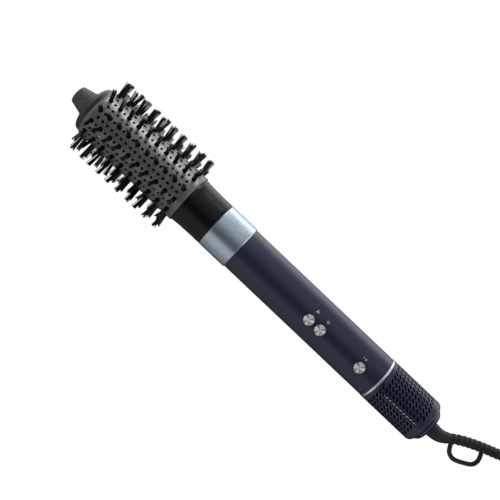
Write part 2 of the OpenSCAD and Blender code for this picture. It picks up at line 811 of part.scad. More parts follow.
// Points past the tail face: along the axis, sideways to +Y, and down from the axis
relief_line = [
    [0.4, 0, 0], [4, 0, 0], [9, 0.2, 0.3], [13, 1.5, 0.9], [17.5, 3.85, 1.8], [23.3, 7.45, 2.95],
    [29, 10.3, 4.1], [35, 12.87, 5.3], [41, 15.2, 6.3], [47, 17.3, 7.3], [52.5, 19.2, 8.2], [57, 20.9, 8.95]
];
loop_line = [
    [19.4, 5], [20.9, 2.2], [22.6, -0.8], [24.7, -3.4], [27.5, -5], [31, -5.4], [34.8, -4.3], [38.5, -2.6],
    [42, -0.8], [44.4, 1.2], [45.4, 4], [45.1, 7], [43.7, 10], [41.6, 13.4]
];
function past_tail(p) = placed([-p.z, -p.y, tail_z + p.x]);
function relief_drop(along) = 0.2 * (along - 8.6);

module strain_relief() {
    path = spline([for (p = relief_line) past_tail(p)], 5);
    n = len(path);
    ribs_from = 22;
    rib_r = 3.8;
    sleeve_root_r = relief_r - 0.15;
    // The smooth root thins to the ribbed stretch, whose ribs are every other ring
    radii = [
        for (i = [0 : n - 1])
            i < ribs_from ? sleeve_root_r - (sleeve_root_r - rib_r) * pow(i / ribs_from, 2.2)
                : i == n - 1 || i % 2 == 0 ? rib_r : rib_r - 0.45
    ];
    color("#1c1d1b") {
        posed() disc(relief_r, pocket_end - end_gap, tail_z + 1);
        sweep(path, radii, 12);
    }
}

module hanging_loop() {
    path = spline([for (p = loop_line) past_tail([p.x, p.y, relief_drop(p.x)])], 2);
    color("#1c1d1b") sweep(path, [for (p = path) loop_d / 2], 8);
}

// The cord from the relief to the coil, as steps from the relief's tip and as
// heights above the table
tip = past_tail(relief_line[len(relief_line) - 1]);
cord_line = [
    [0, 0], [4.5, 1.7], [9, 3.8], [14, 6.5], [19.4, 9.9], [25.4, 13.9],
    [31.4, 18.2], [37.9, 22.8], [44.9, 27.4], [51.9, 31.3], [57.9, 33.8], [62.9, 35.1], [67.5, 35.6]
];
cord_h = cord_d / 2;
cord_heights = [tip.z, tip.z - 0.75, tip.z - 1.25];
cord_path = [
    for (i = [0 : len(cord_line) - 1])
        [tip.x + cord_line[i].x, tip.y + cord_line[i].y, i < 3 ? cord_heights[i] : cord_h]
];

// The coil, which the cord joins on its +Y side
coil_at = [cord_path[12].x + cord_d, cord_path[12].y - coil_r];
total_turns = coil_turns * coil_layers;
steps_per_turn = 24;
function zigzag(f) = let(m = f % 2) m < 1 ? m : 2 - m;
function climb(f, half) =
    let(k = floor(f + 0.5), d = (f - k) / half)
    k <= 0 || k >= coil_layers || abs(d) >= 1 ? floor(f + eps) : k - 0.5 + d * (3 - d * d) / 4;
coil_path = concat(
    [[coil_at.x - cord_d, coil_at.y + coil_r, cord_h]],
    [
        for (i = [0 : total_turns * steps_per_turn])
            let(
                turn = i / steps_per_turn,
                f = turn / coil_turns,
                r = coil_r - coil_turns * coil_pitch * zigzag(f),
                layer = min(climb(f, 0.25 / coil_turns), coil_layers - 1),
                a = 90 - 360 * turn
            )
            [coil_at.x + r * cos(a), coil_at.y + r * sin(a), cord_h + coil_step * layer]
    ],
    [[coil_at.x - cord_d, coil_at.y - coil_r, cord_h + coil_step * (coil_layers - 1)]]
);
coil_gap = min([
    for (i = [0 : len(coil_path) - 1], j = [i + steps_per_turn / 2 : 1 : len(coil_path) - 1])
        norm(coil_path[i] - coil_path[j])
]) - cord_d;

// From the coil up and over to the plug, as steps from the coil's end
end_line = [
    [0, 0, 0], [-7, 0.8, 0.6], [-14, 4, 2.4], [-20, 9.4, 4.6], [-24, 16.2, 6.4],
    [-25.4, 24, 7.4], [-24, 31.8, 8], [-20, 38.8, 8.8], [-14, 44.2, 9.8],
    [-7, 47.2, 10.8], [0, 48.2, 11.4], [6, 48.2, 11.6]
];
coil_end = coil_path[len(coil_path) - 1];
end_path = [for (p = end_line) coil_end + p];
plug_at = end_path[len(end_path) - 1];

module cord_run() {
    path = spline(cord_path, 2);
    color("#1c1d1b") sweep(path, [for (p = path) cord_h], 8);
}

module cord_coil() {
    color("#1c1d1b") sweep(coil_path, [for (p = coil_path) cord_h], 6);
}

module cord_end() {
    path = spline(end_path, 2);
    color("#1c1d1b") sweep(path, [for (p = path) cord_h], 8);
}

// Two-pin plug: a tapered grip that swells into an oval face
plug_grip = 14;
plug_len = 38;
plug_w = 34;
plug_t = 17;

module plug_body() {
    color("#1c1d1b") translate(plug_at) rotate([0, 90, 0]) difference() {
        union() {
            cylinder(r1 = cord_h + 0.8, r2 = cord_h + 2.4, h = plug_grip);
            hull() {
                translate([0, 0, plug_grip - 1]) cylinder(r = cord_h + 2.4, h = 1, $fn = 32);
                for (s = [-1, 1]) translate([0, s * (plug_w - plug_t) / 2, plug_len - 13])
                    cylinder(d = plug_t, h = 13, $fn = 32);
            }
        }
        for (s = [-1, 1]) translate([0, s * pin_pitch / 2, plug_len - 6])
            cylinder(d = pin_d - pin_step + 0.1, h = 7);
    }
}

module plug_pins() {
    color("#d8d8d0") translate(plug_at) rotate([0, 90, 0]) for (s = [-1, 1])
        translate([0, s * pin_pitch / 2, plug_len - 6]) {
            cylinder(d = pin_d - pin_step, h = 6.5 + eps);
            translate([0, 0, 6.5]) cylinder(d = pin_d, h = pin_len - 1.5);
            translate([0, 0, pin_len + 5]) cylinder(d1 = pin_d, d2 = pin_d - 1.6, h = 1);
        }
}

echo(pitch = pitch, nose_h = nose_h, mid_x = mid_x, tail_z = tail_z);
echo(coil_gap = coil_gap, coil_len = run_length(coil_path), run_len = run_length(cord_path),
    end_len = run_length(end_path), plug_at = plug_at, tip = tip, coil_at = coil_at);

cool_tip();
barrel();
neck();
spider();
tie_rod();
bristle_row(1);  // bristle_row_01
bristle_row(2);  // bristle_row_02
bristle_row(3);  // bristle_row_03
bristle_row(4);  // bristle_row_04
bristle_row(5);  // bristle_row_05
bristle_row(6);  // bristle_row_06
bristle_row(7);  // bristle_row_07
bristle_row(8);  // bristle_row_08
bristle_row(9);  // bristle_row_09
bristle_row(10);  // bristle_row_10
bristle_row(11);  // bristle_row_11
bristle_row(12);  // bristle_row_12
collar();
outlet_spigot();
seal_ring();
mica_tube();
heater_boards();
heating_wire();
thermostat();
thermal_fuse();
handle_shell();
chassis();
circuit_board();
board_parts();
tact_switches();
fan_duct();
motor_can();
stator_core();
bearings();
duct_mounts();
trim_ring();
tail_core();
tail_cap();
screws();
leads();
fan_button();
fan_plunger();
heat_button();
heat_plunger();
power_button();
power_plunger();
impeller();
fan_shaft();
magnet_rotor();
filter_sleeve();
filter_mesh();
swivel_bush();
strain_relief();
hanging_loop();
cord_run();
cord_coil();
cord_end();
plug_body();
plug_pins();
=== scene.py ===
# %% [markdown]
# # A hot air styler, dressed up in Blender
# The solids of the styler come from CAD as a fixed frame: every part is already in its
# place, in metres. What is left is what a photograph shows and CAD doesn't: soft bristles,
# a pierced barrel with clean round holes, satin lacquer, glossy plastic, spun metal buttons
# and a rubbery cord. The frame is loaded first. The dressed model has to stay inside it.

import math
import random

import bmesh
import bpy
from mathutils import Matrix, Vector


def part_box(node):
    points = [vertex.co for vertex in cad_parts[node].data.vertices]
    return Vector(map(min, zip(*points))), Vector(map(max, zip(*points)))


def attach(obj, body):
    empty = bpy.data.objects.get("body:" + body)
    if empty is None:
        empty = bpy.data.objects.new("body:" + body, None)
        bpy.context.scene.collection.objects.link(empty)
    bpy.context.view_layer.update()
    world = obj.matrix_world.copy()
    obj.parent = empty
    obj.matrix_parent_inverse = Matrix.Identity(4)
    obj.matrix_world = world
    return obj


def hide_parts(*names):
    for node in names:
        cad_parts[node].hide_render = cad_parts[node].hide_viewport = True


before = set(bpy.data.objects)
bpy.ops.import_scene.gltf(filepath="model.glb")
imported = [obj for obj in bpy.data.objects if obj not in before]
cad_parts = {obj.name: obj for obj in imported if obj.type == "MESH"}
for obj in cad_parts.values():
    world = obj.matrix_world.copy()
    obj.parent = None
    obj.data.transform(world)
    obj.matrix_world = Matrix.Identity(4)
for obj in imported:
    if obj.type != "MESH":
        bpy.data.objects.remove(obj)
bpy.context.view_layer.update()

# %% [markdown]
# ## The styler's own axis
# The brush, the neck, the handle and the inlet sleeve are all turned round one axis, which
# is tipped a few degrees because the bristles hold the front end up. It is easiest to model
# along a straight axis and lay the finished piece down afterwards. So pieces are made along
# +Z in millimetres, with the nose at 0 and +X as the side with the buttons, and `LAY` turns,
# scales and moves them to their place. The tilt is read off the CAD: a turned piece's box
# gives its middle, and two such middles give the axis.

# %% The axis, from two turned pieces
MM = 0.001


def middle(node):
    low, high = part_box(node)
    return (low + high) / 2


def turn_by(degrees, axis):
    return Matrix.Rotation(math.radians(degrees), 4, axis)


RING_MID = middle("trim_ring")
ROD_MID = middle("tie_rod")
PITCH = math.atan2(ROD_MID.z - RING_MID.z, RING_MID.x - ROD_MID.x)
AXIS = Vector((math.cos(PITCH), 0, -math.sin(PITCH)))
UP = Vector((math.sin(PITCH), 0, math.cos(PITCH)))
SIDE = Vector((0, 1, 0))


def stations_of(node, start):
    """First and last station of a CAD node along the axis, and its outer radius, in mm."""
    places = [v.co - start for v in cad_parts[node].data.vertices]
    ahead = [p.dot(AXIS) / MM for p in places]
    out = [math.hypot(p.dot(UP), p.y) / MM for p in places]
    return min(ahead), max(ahead), max(out)


NOSE = RING_MID + AXIS * stations_of("cool_tip", RING_MID)[0] * MM
LAY = (
    Matrix.Translation(NOSE)
    @ Matrix.Rotation(math.radians(90) + PITCH, 4, "Y")
    @ Matrix.Rotation(math.radians(180), 4, "Z")
    @ Matrix.Scale(MM, 4)
)
print("pitch", round(math.degrees(PITCH), 3), "nose at", [round(c, 5) for c in NOSE])

# %% Stations of the turned pieces
BARREL_FRONT, BARREL_BACK, BARREL_R = stations_of("barrel", NOSE)
HANDLE_FRONT, HANDLE_BACK, HANDLE_R = stations_of("handle_shell", NOSE)
SLEEVE_FRONT, SLEEVE_BACK, SLEEVE_R = stations_of("filter_sleeve", NOSE)
TAIL_BACK = stations_of("tail_cap", NOSE)[1]
# The pierced solids are made of flats and stand out a little past their true radius.
FLATS = 0.04
BARREL_R, SLEEVE_R = round(BARREL_R, 1), round(SLEEVE_R - FLATS, 1)
print("barrel", round(BARREL_FRONT, 2), round(BARREL_BACK, 2), "radius", BARREL_R)
print("sleeve", round(SLEEVE_FRONT, 2), round(SLEEVE_BACK, 2), "radius", SLEEVE_R)
print("handle", round(HANDLE_FRONT, 2), round(HANDLE_BACK, 2), "radius", round(HANDLE_R, 2))

# %% [markdown]
# ## Camera
# The photograph looks straight down on the styler from about 0.63 m, square to its axis:
# the handle is as wide at one end as at the other, while the ring behind the handle bows
# toward the tail and the rim of the cool tip bows toward the nose. Those two bows give the
# distance. The eye stands a few degrees to one side, as the buttons show, and the camera's
# roll lays the axis down at 43.5 degrees in the picture.

# %% Camera
PICTURE = 500
SCALE = 0.72 * MM
EYE_PIXELS = 870
DISTANCE = EYE_PIXELS * SCALE
SENSOR = 36
LOOK_DOWN = math.radians(6)
ROLL = math.atan2(0.688, 0.7257)
MID_STATION = 167.4
MID_OFFSET = 5.1


def along(station_mm):
    return NOSE + AXIS * station_mm * MM


def placed(name, data):
    """A new object in the scene."""
    made = bpy.data.objects.new(name, data)
    bpy.context.scene.collection.objects.link(made)
    return made


out = UP * math.cos(LOOK_DOWN) + SIDE * math.sin(LOOK_DOWN)
right_up = out.cross(AXIS)
target = along(MID_STATION) + right_up * MID_OFFSET * SCALE
eye = target + out * DISTANCE
cam_right = AXIS * math.cos(ROLL) + right_up * math.sin(ROLL)
cam_up = right_up * math.cos(ROLL) - AXIS * math.sin(ROLL)
camera_data = bpy.data.cameras.new("photo_camera")
camera_data.sensor_width = SENSOR
camera_data.lens = SENSOR * EYE_PIXELS / PICTURE
camera_data.clip_start = 0.05
camera = placed("photo_camera", camera_data)
turn = Matrix((cam_right, cam_up, out)).transposed()
camera.matrix_world = Matrix.Translation(eye) @ turn.to_4x4()
bpy.context.scene.camera = camera


def pixel(point):
    """Where a point falls in the 500 by 500 photograph."""
    seen = turn.transposed() @ (Vector(point) - eye)
    return [PICTURE / 2 + EYE_PIXELS * side / -seen.z for side in (seen.x, -seen.y)]


print("nose tip at pixel", [round(c, 1) for c in pixel(NOSE)])
print("tail face at pixel", [round(c, 1) for c in pixel(along(TAIL_BACK))])

# %% [markdown]
# ## The cord
# A mains lead of about 1.8 m and 6.2 mm. The photograph shows only the first centimetres
# of it, up to the right edge. The rest is put away just outside the picture: it lies down
# on the table, runs into a neat coil of four layers, and comes out on top with its plug.
# The route repeats the points of the CAD model in metres. A curve object is the natural
# way to model it: one open spline with a round bevel. Camera and cord come before all the
# rest, because the coil's place depends on what the camera sees.

# %% The cord's route
CORD = 6.2 * MM
TIP = Vector((0.229722, 0.0209, 0.00460715))
RUN = [
    (0, 0), (4.5, 1.7), (9, 3.8), (14, 6.5), (19.4, 9.9), (25.4, 13.9), (31.4, 18.2),
    (37.9, 22.8), (44.9, 27.4), (51.9, 31.3), (57.9, 33.8), (62.9, 35.1), (67.5, 35.6),
]
# The first three points sink from the swivel on to the table.
SINK = (0, 0.75, 1.25)
TURNS, LAYERS, OUTER, TURN_GAP, LAYER_GAP = 1.875, 4, 42, 7.1, 6.7
PER_TURN = 24
CLIMB = 0.25 / TURNS
TO_PLUG = [
    (0, 0, 0), (-7, 0.8, 0.6), (-14, 4, 2.4), (-20, 9.4, 4.6), (-24, 16.2, 6.4),
    (-25.4, 24, 7.4), (-24, 31.8, 8), (-20, 38.8, 8.8), (-14, 44.2, 9.8),
    (-7, 47.2, 10.8), (0, 48.2, 11.4), (6, 48.2, 11.6),
]


def smooth(points, steps):
    """A Catmull-Rom curve through points, as in the CAD source."""
    found = []
    for i in range(len(points) - 1):
        b, c = points[i], points[i + 1]
        a = points[i - 1] if i else b * 2 - c
        d = points[i + 2] if i + 2 < len(points) else c * 2 - b
        for k in range(steps):
            t = k / steps
            found.append((b * 2 + (c - a) * t + (a * 2 - b * 5 + c * 4 - d) * t * t
                          + (b * 3 - a - c * 3 + d) * t ** 3) * 0.5)
    return found + [points[-1]]


def layer_at(f):
    """Which layer a turn lies in; it climbs smoothly where the spiral turns back."""
    k = math.floor(f + 0.5)
    d = (f - k) / CLIMB
    if k <= 0 or k >= LAYERS or abs(d) >= 1:
        return min(math.floor(f + 0.01), LAYERS - 1)
    return k - 0.5 + d * (3 - d * d) / 4


run_heights = [TIP.z - down * MM for down in SINK] + [CORD / 2] * (len(RUN) - len(SINK))
run = [Vector((TIP.x + x * MM, TIP.y + y * MM, z)) for (x, y), z in zip(RUN, run_heights)]
coil_at = Vector((run[-1].x + CORD, run[-1].y - OUTER * MM, 0))
coil = []
for i in range(int(TURNS * LAYERS * PER_TURN) + 1):
    f = i / PER_TURN / TURNS
    m = f % 2
    r = (OUTER - TURNS * TURN_GAP * (m if m < 1 else 2 - m)) * MM
    a = math.radians(90 - 360 * i / PER_TURN)
    z = CORD / 2 + LAYER_GAP * MM * layer_at(f)
    coil.append(coil_at + Vector((r * math.cos(a), r * math.sin(a), z)))
coil_end = coil_at + Vector((-CORD, -OUTER * MM, CORD / 2 + LAYER_GAP * MM * (LAYERS - 1)))
to_plug = [coil_end + Vector(p) * MM for p in TO_PLUG]
route = smooth(run, 2) + coil + smooth(to_plug, 2)
route_length = sum((b - a).length for a, b in zip(route, route[1:]))
print("cord", round(route_length, 3), "m, coil round", [round(c, 4) for c in coil_at])


# %% The cord as a curve
def round_bar(name, path, radii):
    """A bar along a path: a curve with a round bevel, and a radius at each point."""
    data = bpy.data.curves.new(name, "CURVE")
    data.dimensions = "3D"
    line = data.splines.new("POLY")
    line.points.add(len(path) - 1)
    for point, place, radius in zip(line.points, path, radii):
        point.co = (*place, 1)
        point.radius = radius
    # Blender counts a point's radius into a curve's box, so it holds the whole radius.
    data.bevel_depth = 1
    data.bevel_resolution = 6
    data.use_fill_caps = True
    return placed(name, data)


def on_swivel(bar, *stands_for):
    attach(bar, "cord_swivel")
    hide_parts(*stands_for)


power_cord = round_bar("power_cord", route, [CORD / 2] * len(route))
on_swivel(power_cord, "cord_run", "cord_coil", "cord_end")

# %% [markdown]
# ## Writing shaders as sums
# A procedural material is a small calculation: a noise, times a strength, added to a base.
# Drawn as nodes it grows into a web, so here it is written as Python. A `Wire` is one
# socket of one node, and its operators add Math nodes. Colours don't go through Math nodes,
# because those turn a colour grey: they are mixed with a Mix node.

# %% Sockets with operators
class Wire:
    """One output socket of a material, ready for sums."""

    def __init__(self, web, socket):
        self.web, self.socket = web, socket

    def math(self, operation, *values):
        """A Math node whose first value is this wire."""
        return self.web.add("ShaderNodeMath", {"operation": operation}, self, *values)

    def __add__(self, other):
        return self.math("ADD", other)

    def __sub__(self, other):
        return self.math("SUBTRACT", other)

    def __rsub__(self, other):
        return self.math("MULTIPLY", -1.0).math("ADD", other)

    def __mul__(self, other):
        return self.math("MULTIPLY", other)

    def __truediv__(self, other):
        return self.math("DIVIDE", other)

    __radd__ = __add__
    __rmul__ = __mul__

    def abs(self):
        return self.math("ABSOLUTE")


def tint(code):
    """A screen colour such as #2b2e3b as the linear numbers that a shader takes."""
    parts = [int(code[i:i + 2], 16) / 255 for i in (1, 3, 5)]
    return tuple(c / 12.92 if c < 0.04045 else ((c + 0.055) / 1.055) ** 2.4 for c in parts) + (1,)


# %% A material in the making
class Web:
    """A node tree. add() makes any node, and the others are shorthand for it."""

    def __init__(self, tree):
        self.tree = tree

    def add(self, kind, settings=None, *values, output=0, numbered=(), **named):
        """A node of any kind. Its settings come first, then what goes into its sockets.

        The sockets are named in order, by number where names repeat, or by name.
        """
        node = self.tree.nodes.new(kind)
        for key, value in (settings or {}).items():
            if key == "stops":
                ramp = node.color_ramp.elements
                ramp.remove(ramp[1])
                for i, (place, shade) in enumerate(value):
                    stop = ramp.new(place) if i else ramp[0]
                    stop.position, stop.color = place, shade
            else:
                setattr(node, key, value)
        named = [(key.replace("_", " "), value) for key, value in named.items()]
        for key, value in [*enumerate(values), *numbered, *named]:
            self.plug(value, node.inputs[key])
        return Wire(self, node.outputs[output])

    def plug(self, value, socket):
        if isinstance(value, Wire):
            self.tree.links.new(value.socket, socket)
        else:
            socket.default_value = value

    def mix(self, one, other, share):
        """A colour between two colours, by a share from 0 to 1."""
        colours = ((0, share), (6, one), (7, other))
        return self.add("ShaderNodeMix", {"data_type": "RGBA"}, output=2, numbered=colours)

    def ramp(self, share, *stops):
        """A grey level that follows (place, level) stops."""
        grey = [(place, (level, level, level, 1)) for place, level in stops]
        return self.add("ShaderNodeValToRGB", {"stops": grey}, share)

    def parts(self, vector):
        """The x, y and z of a vector."""
        node = self.add("ShaderNodeSeparateXYZ", None, vector).socket.node
        return [Wire(self, socket) for socket in node.outputs]

    def ray(self, kind):
        return self.add("ShaderNodeLightPath", output=kind)


class Look(Web):
    """A material with its main values set, and the usual ways to wire it."""

    def __init__(self, name, colour, roughness, metallic=0.0, ior=1.45, gloss_tint="#ffffff"):
        self.material = bpy.data.materials.new(name)
        self.material.use_nodes = True
        self.material.diffuse_color = tint(colour)
        super().__init__(self.material.node_tree)
        self.shader = self.tree.nodes["Principled BSDF"]
        self.colour, self.roughness = tint(colour), roughness
        for socket, value in (
            ("Base Color", self.colour), ("Roughness", roughness), ("Metallic", metallic),
            ("IOR", ior), ("Specular Tint", tint(gloss_tint)),
        ):
            self.shader.inputs[socket].default_value = value

    def place(self):
        return self.add("ShaderNodeTexCoord", output=3)

    def noise(self, size_mm, detail):
        """Cloudy noise from 0 to 1 whose blotches are about size_mm wide."""
        return self.add("ShaderNodeTexNoise", None, Vector=self.place(),
                        Scale=1 / (size_mm * MM), Detail=detail)

    def axis_places(self):
        """Station in mm, and height and sideways place in mm, measured from the axis."""
        here = self.place()
        found = []
        dot = {"operation": "DOT_PRODUCT"}
        for direction in (AXIS, UP, -SIDE):
            reach = self.add("ShaderNodeVectorMath", dot, here, direction, output=1)
            found.append(reach / MM - NOSE.dot(direction) / MM)
        return found

    def step(self, value, low, high):
        """0 below low, 1 above high, and a straight rise between."""
        return self.add("ShaderNodeMapRange", {"clamp": True}, value, low, high, 0.0, 1.0)

    def feed(self, socket, value):
        self.tree.links.new(value.socket, self.shader.inputs[socket])

    def bumps(self, height, depth_mm):
        """Relief: height from 0 to 1 stands for depth_mm."""
        self.feed("Normal", self.add("ShaderNodeBump", None, Height=height, Distance=depth_mm * MM))

    def wear(self, share, size_mm, spread=0.06, grain_mm=0.0, depth_mm=0.0, inside=None):
        """Slightly uneven colour and gloss, as every moulded or painted surface has.

        A grain adds fine relief. Inside is a (colour, mask) pair: painted shade, in that colour, on
        what lies deeper.
        """
        cloud = self.noise(size_mm, 3)
        dark = tuple(c * (1 - share) for c in self.colour[:3]) + (1,)
        light = tuple(min(1, c * (1 + share)) for c in self.colour[:3]) + (1,)
        shade = self.mix(dark, light, cloud)
        if inside:
            # Painted shade on what lies deeper, where the mask falls to 0.
            shade = self.mix(inside[0], shade, inside[1])
        self.feed("Base Color", shade)
        self.feed("Roughness", cloud * (2 * spread) + (self.roughness - spread))
        if grain_mm:
            self.bumps(self.noise(grain_mm, 2), depth_mm)


def dress(look, *pieces):
    for piece in pieces:
        piece.data.materials.clear()
        piece.data.materials.append(look.material)


# %% [markdown]
# ## Stage and light
# A product photograph has a white sheet and big soft lamps, and a dark space above, where
# the camera stands. On a glossy round handle every part of that studio shows as a band: a
# dark line along the middle, a dim band from the fill on the near side, and a bright flank
# from the lit sheet on the far side. The sheet is a plain diffuse floor for light and
# shadow, and is lifted to white only for the camera, while reflections see it bright on
# the far side and flagged on the near side. The world does the same for what is above.

# %% Deselect helper
def deselect():
    bpy.ops.object.select_all(action="DESELECT")


# %% Floor
GLOW = 0.98
FLOOR_SIZE, FLOOR_DEPTH = 6, 0.0002
deselect()
bpy.ops.mesh.primitive_plane_add(size=FLOOR_SIZE, location=(0, 0, -FLOOR_DEPTH))
floor = bpy.context.object
floor.name = "floor"
sheet = Look("white_sheet", "#f4f4f4", 0.9)
_, sideways, _ = sheet.parts(sheet.place())
# From 20 cm on the near side to 20 cm on the far side, as the lacquer mirrors it.
bright = sheet.ramp(
    sideways * 2.5 + 0.5, (0.0, 0.35), (0.25, 0.3), (0.35, 0.15), (0.42, 0.02), (0.46, 0.0),
    (0.54, 0.1), (0.58, 0.8), (0.625, 2.0), (0.7, 2.4), (0.825, 2.0), (1.0, 1.2),
)
camera_glow = sheet.add("ShaderNodeEmission", None, (1, 1, 1, 1), 1.0)
gloss_glow = sheet.add("ShaderNodeEmission", None, bright, 1.0)
paper = sheet.add("ShaderNodeBsdfDiffuse", None, (0.8, 0.8, 0.8, 1))
seen = sheet.add("ShaderNodeMixShader", None, sheet.ray("Is Camera Ray") * GLOW, paper, camera_glow)
blend = sheet.add("ShaderNodeMixShader", None, sheet.ray("Is Glossy Ray"), seen, gloss_glow)
sheet.plug(blend, sheet.tree.nodes["Material Output"].inputs["Surface"])
floor.data.materials.append(sheet.material)
print("floor:", FLOOR_SIZE, "m wide")

# %% World
SOFT = 0.55
world = bpy.data.worlds.new("studio")
bpy.context.scene.world = world
world.use_nodes = True
sky = Web(world.node_tree)
lengthwise, across, high = sky.parts(sky.add("ShaderNodeTexCoord", output=0))
turned_round = across.math("ARCTAN2", high) / math.pi + 0.5
bands = sky.ramp(
    turned_round, (0.0, 0.45), (0.16, 0.68), (0.27, 0.6), (0.37, 0.08), (0.46, 0.0), (0.55, 0.12),
    (0.66, 0.36), (0.76, 0.56), (0.87, 0.6), (1.0, 0.8),
)
# Two more softboxes stand beyond the nose and the tail, for the ends and the buttons.
ends = sky.ramp(lengthwise.abs(), (0.42, 0.0), (0.62, 0.9), (0.95, 0.5))
bands = bands.math("MAXIMUM", ends)
level = sky.mix((SOFT, SOFT, SOFT, 1), bands, sky.ray("Is Glossy Ray"))
white_seen = sky.mix(level, (1, 1, 1, 1), sky.ray("Is Camera Ray"))
sky.plug(white_seen, sky.tree.nodes["Background"].inputs["Color"])
print("world:", len(sky.tree.nodes), "nodes")


# %% Lamps
def softbox(name, place, aim, width, length, watts, mirrored=False):
    """A rectangular area lamp that looks at aim, with its length along the styler."""
    data = bpy.data.lights.new(name, "AREA")
    data.shape = "RECTANGLE"
    data.size, data.size_y = length, width
    data.energy = watts
    lamp = placed(name, data)
    back = (Vector(place) - Vector(aim)).normalized()
    wide = (AXIS - back * AXIS.dot(back)).normalized()
    facing = Matrix((wide, back.cross(wide), back)).transposed().to_4x4()
    lamp.matrix_world = Matrix.Translation(place) @ facing
    # The reflections come from the world and the sheet, so most lamps only light.
    lamp.visible_glossy = mirrored
    return lamp


# Each has a place and an aim, a width and a length in metres, and its watts.
softbox("key_far", (0.0, 0.7, 0.7), (0, 0, 0.03), 0.5, 1.4, 7)
softbox("fill_near", (0.0, -0.7, 0.6), (0, 0, 0.03), 0.5, 1.4, 2)
# A third lamp draws the bright line on the barrel's far flank. It stands beyond the nose,
# so that the neck doesn't mirror it, and a grid in front keeps its light off the handle.
HEAD = along(64)
head_lamp_place = along(-38) + SIDE * 0.49 + UP * 0.07
head_lamp = softbox("head_strip", head_lamp_place, HEAD, 0.24, 0.19, 0.12, mirrored=True)
head_lamp.data.spread = math.radians(40)
bpy.context.scene.view_settings.view_transform = "Standard"
print("lamps:", len(bpy.data.lights))

# %% [markdown]
# ## A workbench for turned pieces
# Most of the styler is round: on a lathe it would be turned, and in Blender it is spun. A
# profile is drawn point by point in edit mode, by extruding one vertex after another, and
# spin sweeps it round the axis. Doubles are merged at the seam and the poles, and only then
# are the normals recalculated.

# %% Picking and editing a piece
def pick(*pieces):
    """Selects only these pieces, with the first as the active one."""
    deselect()
    for piece in pieces:
        piece.select_set(True)
    bpy.context.view_layer.objects.active = pieces[0]


def drawn(shape, **settings):
    """Adds a primitive, such as a plane, and opens it in edit mode."""
    deselect()
    getattr(bpy.ops.mesh, "primitive_%s_add" % shape)(**settings)
    bpy.ops.object.mode_set(mode="EDIT")
    return bpy.context.object


def done():
    bpy.ops.object.mode_set(mode="OBJECT")


def edit(piece, action="SELECT"):
    """Opens one piece in edit mode, with all of it selected, or nothing."""
    pick(piece)
    bpy.ops.object.mode_set(mode="EDIT")
    bpy.ops.mesh.select_all(action=action)


def choose(piece, kind, wanted):
    """Selects those verts, edges or faces of an open piece that are wanted."""
    for part in getattr(bmesh.from_edit_mesh(piece.data), kind):
        part.select = wanted(part)
    bmesh.update_edit_mesh(piece.data)


def outward():
    """Turns all faces of the open piece outward, and leaves edit mode."""
    bpy.ops.mesh.select_all(action="SELECT")
    bpy.ops.mesh.normals_make_consistent(inside=False)
    done()


def merged(piece, distance=0.01):
    """Merges the points that coincide."""
    edit(piece)
    bpy.ops.mesh.remove_doubles(threshold=distance)
    outward()


# %% Laying a finished piece down
def lay_down(piece, name, body, slot, look, *stands_for):
    """Moves a mesh from the bench to its place, and ties it to a CAD body."""
    piece.name = piece.data.name = name
    piece.data.transform(LAY @ piece.matrix_world)
    piece.matrix_world = Matrix.Identity(4)
    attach(piece, body)
    if stands_for:
        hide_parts(*stands_for)
    dress(look, piece)
    print(name + ":", tris(piece), "triangles")


def tris(piece):
    return sum(len(p.vertices) - 2 for p in piece.data.polygons)


def apply_modifier(piece, kind, **settings):
    pick(piece)
    modifier = piece.modifiers.new(kind.lower(), kind)
    for key, value in settings.items():
        setattr(modifier, key, value)
    bpy.ops.object.modifier_apply(modifier=modifier.name)


def soften(piece, degrees):
    """Smooth shading that still keeps real edges sharp."""
    pick(piece)
    bpy.ops.object.shade_smooth_by_angle(angle=math.radians(degrees))


# %% Arcs and the lathe
SAME_POINT = 0.004


def arc(centre, radius, angles):
    """Profile points (radius, station) on an arc; 0 degrees points away from the axis."""
    r, z = centre
    turns = map(math.radians, angles)
    return [(r + radius * math.cos(a), z + radius * math.sin(a)) for a in turns]


def spin(steps, degrees):
    """Sweeps what is selected round the axis."""
    angle = math.radians(degrees)
    bpy.ops.mesh.spin(steps=steps, angle=angle, center=(0, 0, 0), axis=(0, 0, 1))


def turned(profile, around, sharp, closed=True):
    """A profile of (radius, station) points in mm, extruded point by point and spun."""
    piece = drawn("plane")
    bpy.ops.mesh.merge(type="CENTER")
    bpy.ops.transform.translate(value=(profile[0][0], 0, profile[0][1]))
    follow = profile[1:] + profile[:1] if closed else profile[1:]
    for (r0, z0), (r1, z1) in zip(profile, follow):
        bpy.ops.mesh.extrude_region_move(TRANSFORM_OT_translate={"value": (r1 - r0, 0, z1 - z0)})
    bpy.ops.mesh.select_all(action="SELECT")
    spin(around, 360)
    done()
    merged(piece, SAME_POINT)
    soften(piece, sharp)
    return piece


# %% [markdown]
# ## Finishes
# The palette comes first, so that a piece can be dressed as soon as it is made. The barrel
# is dark coated aluminium, the handle a navy lacquer, the collar a blue anodised sleeve
# with fine rings from the lathe, the neck a glossy black plastic.

# %% Helpers for the palette
def out_from_axis(look):
    """Distance from the styler's axis in mm, and the station."""
    station, high, wide = look.axis_places()
    return (high * high + wide * wide).math("SQRT"), station


def finish(name, colour, roughness, wear, **values):
    """A look with its wear, where nothing else changes over the surface."""
    look = Look(name, colour, roughness, **values)
    look.wear(*wear)
    return look


# %% Palette of the brush
barrel_metal = Look("barrel_metal", "#5c5c5d", 0.35, metallic=0.5)
barrel_out, _ = out_from_axis(barrel_metal)
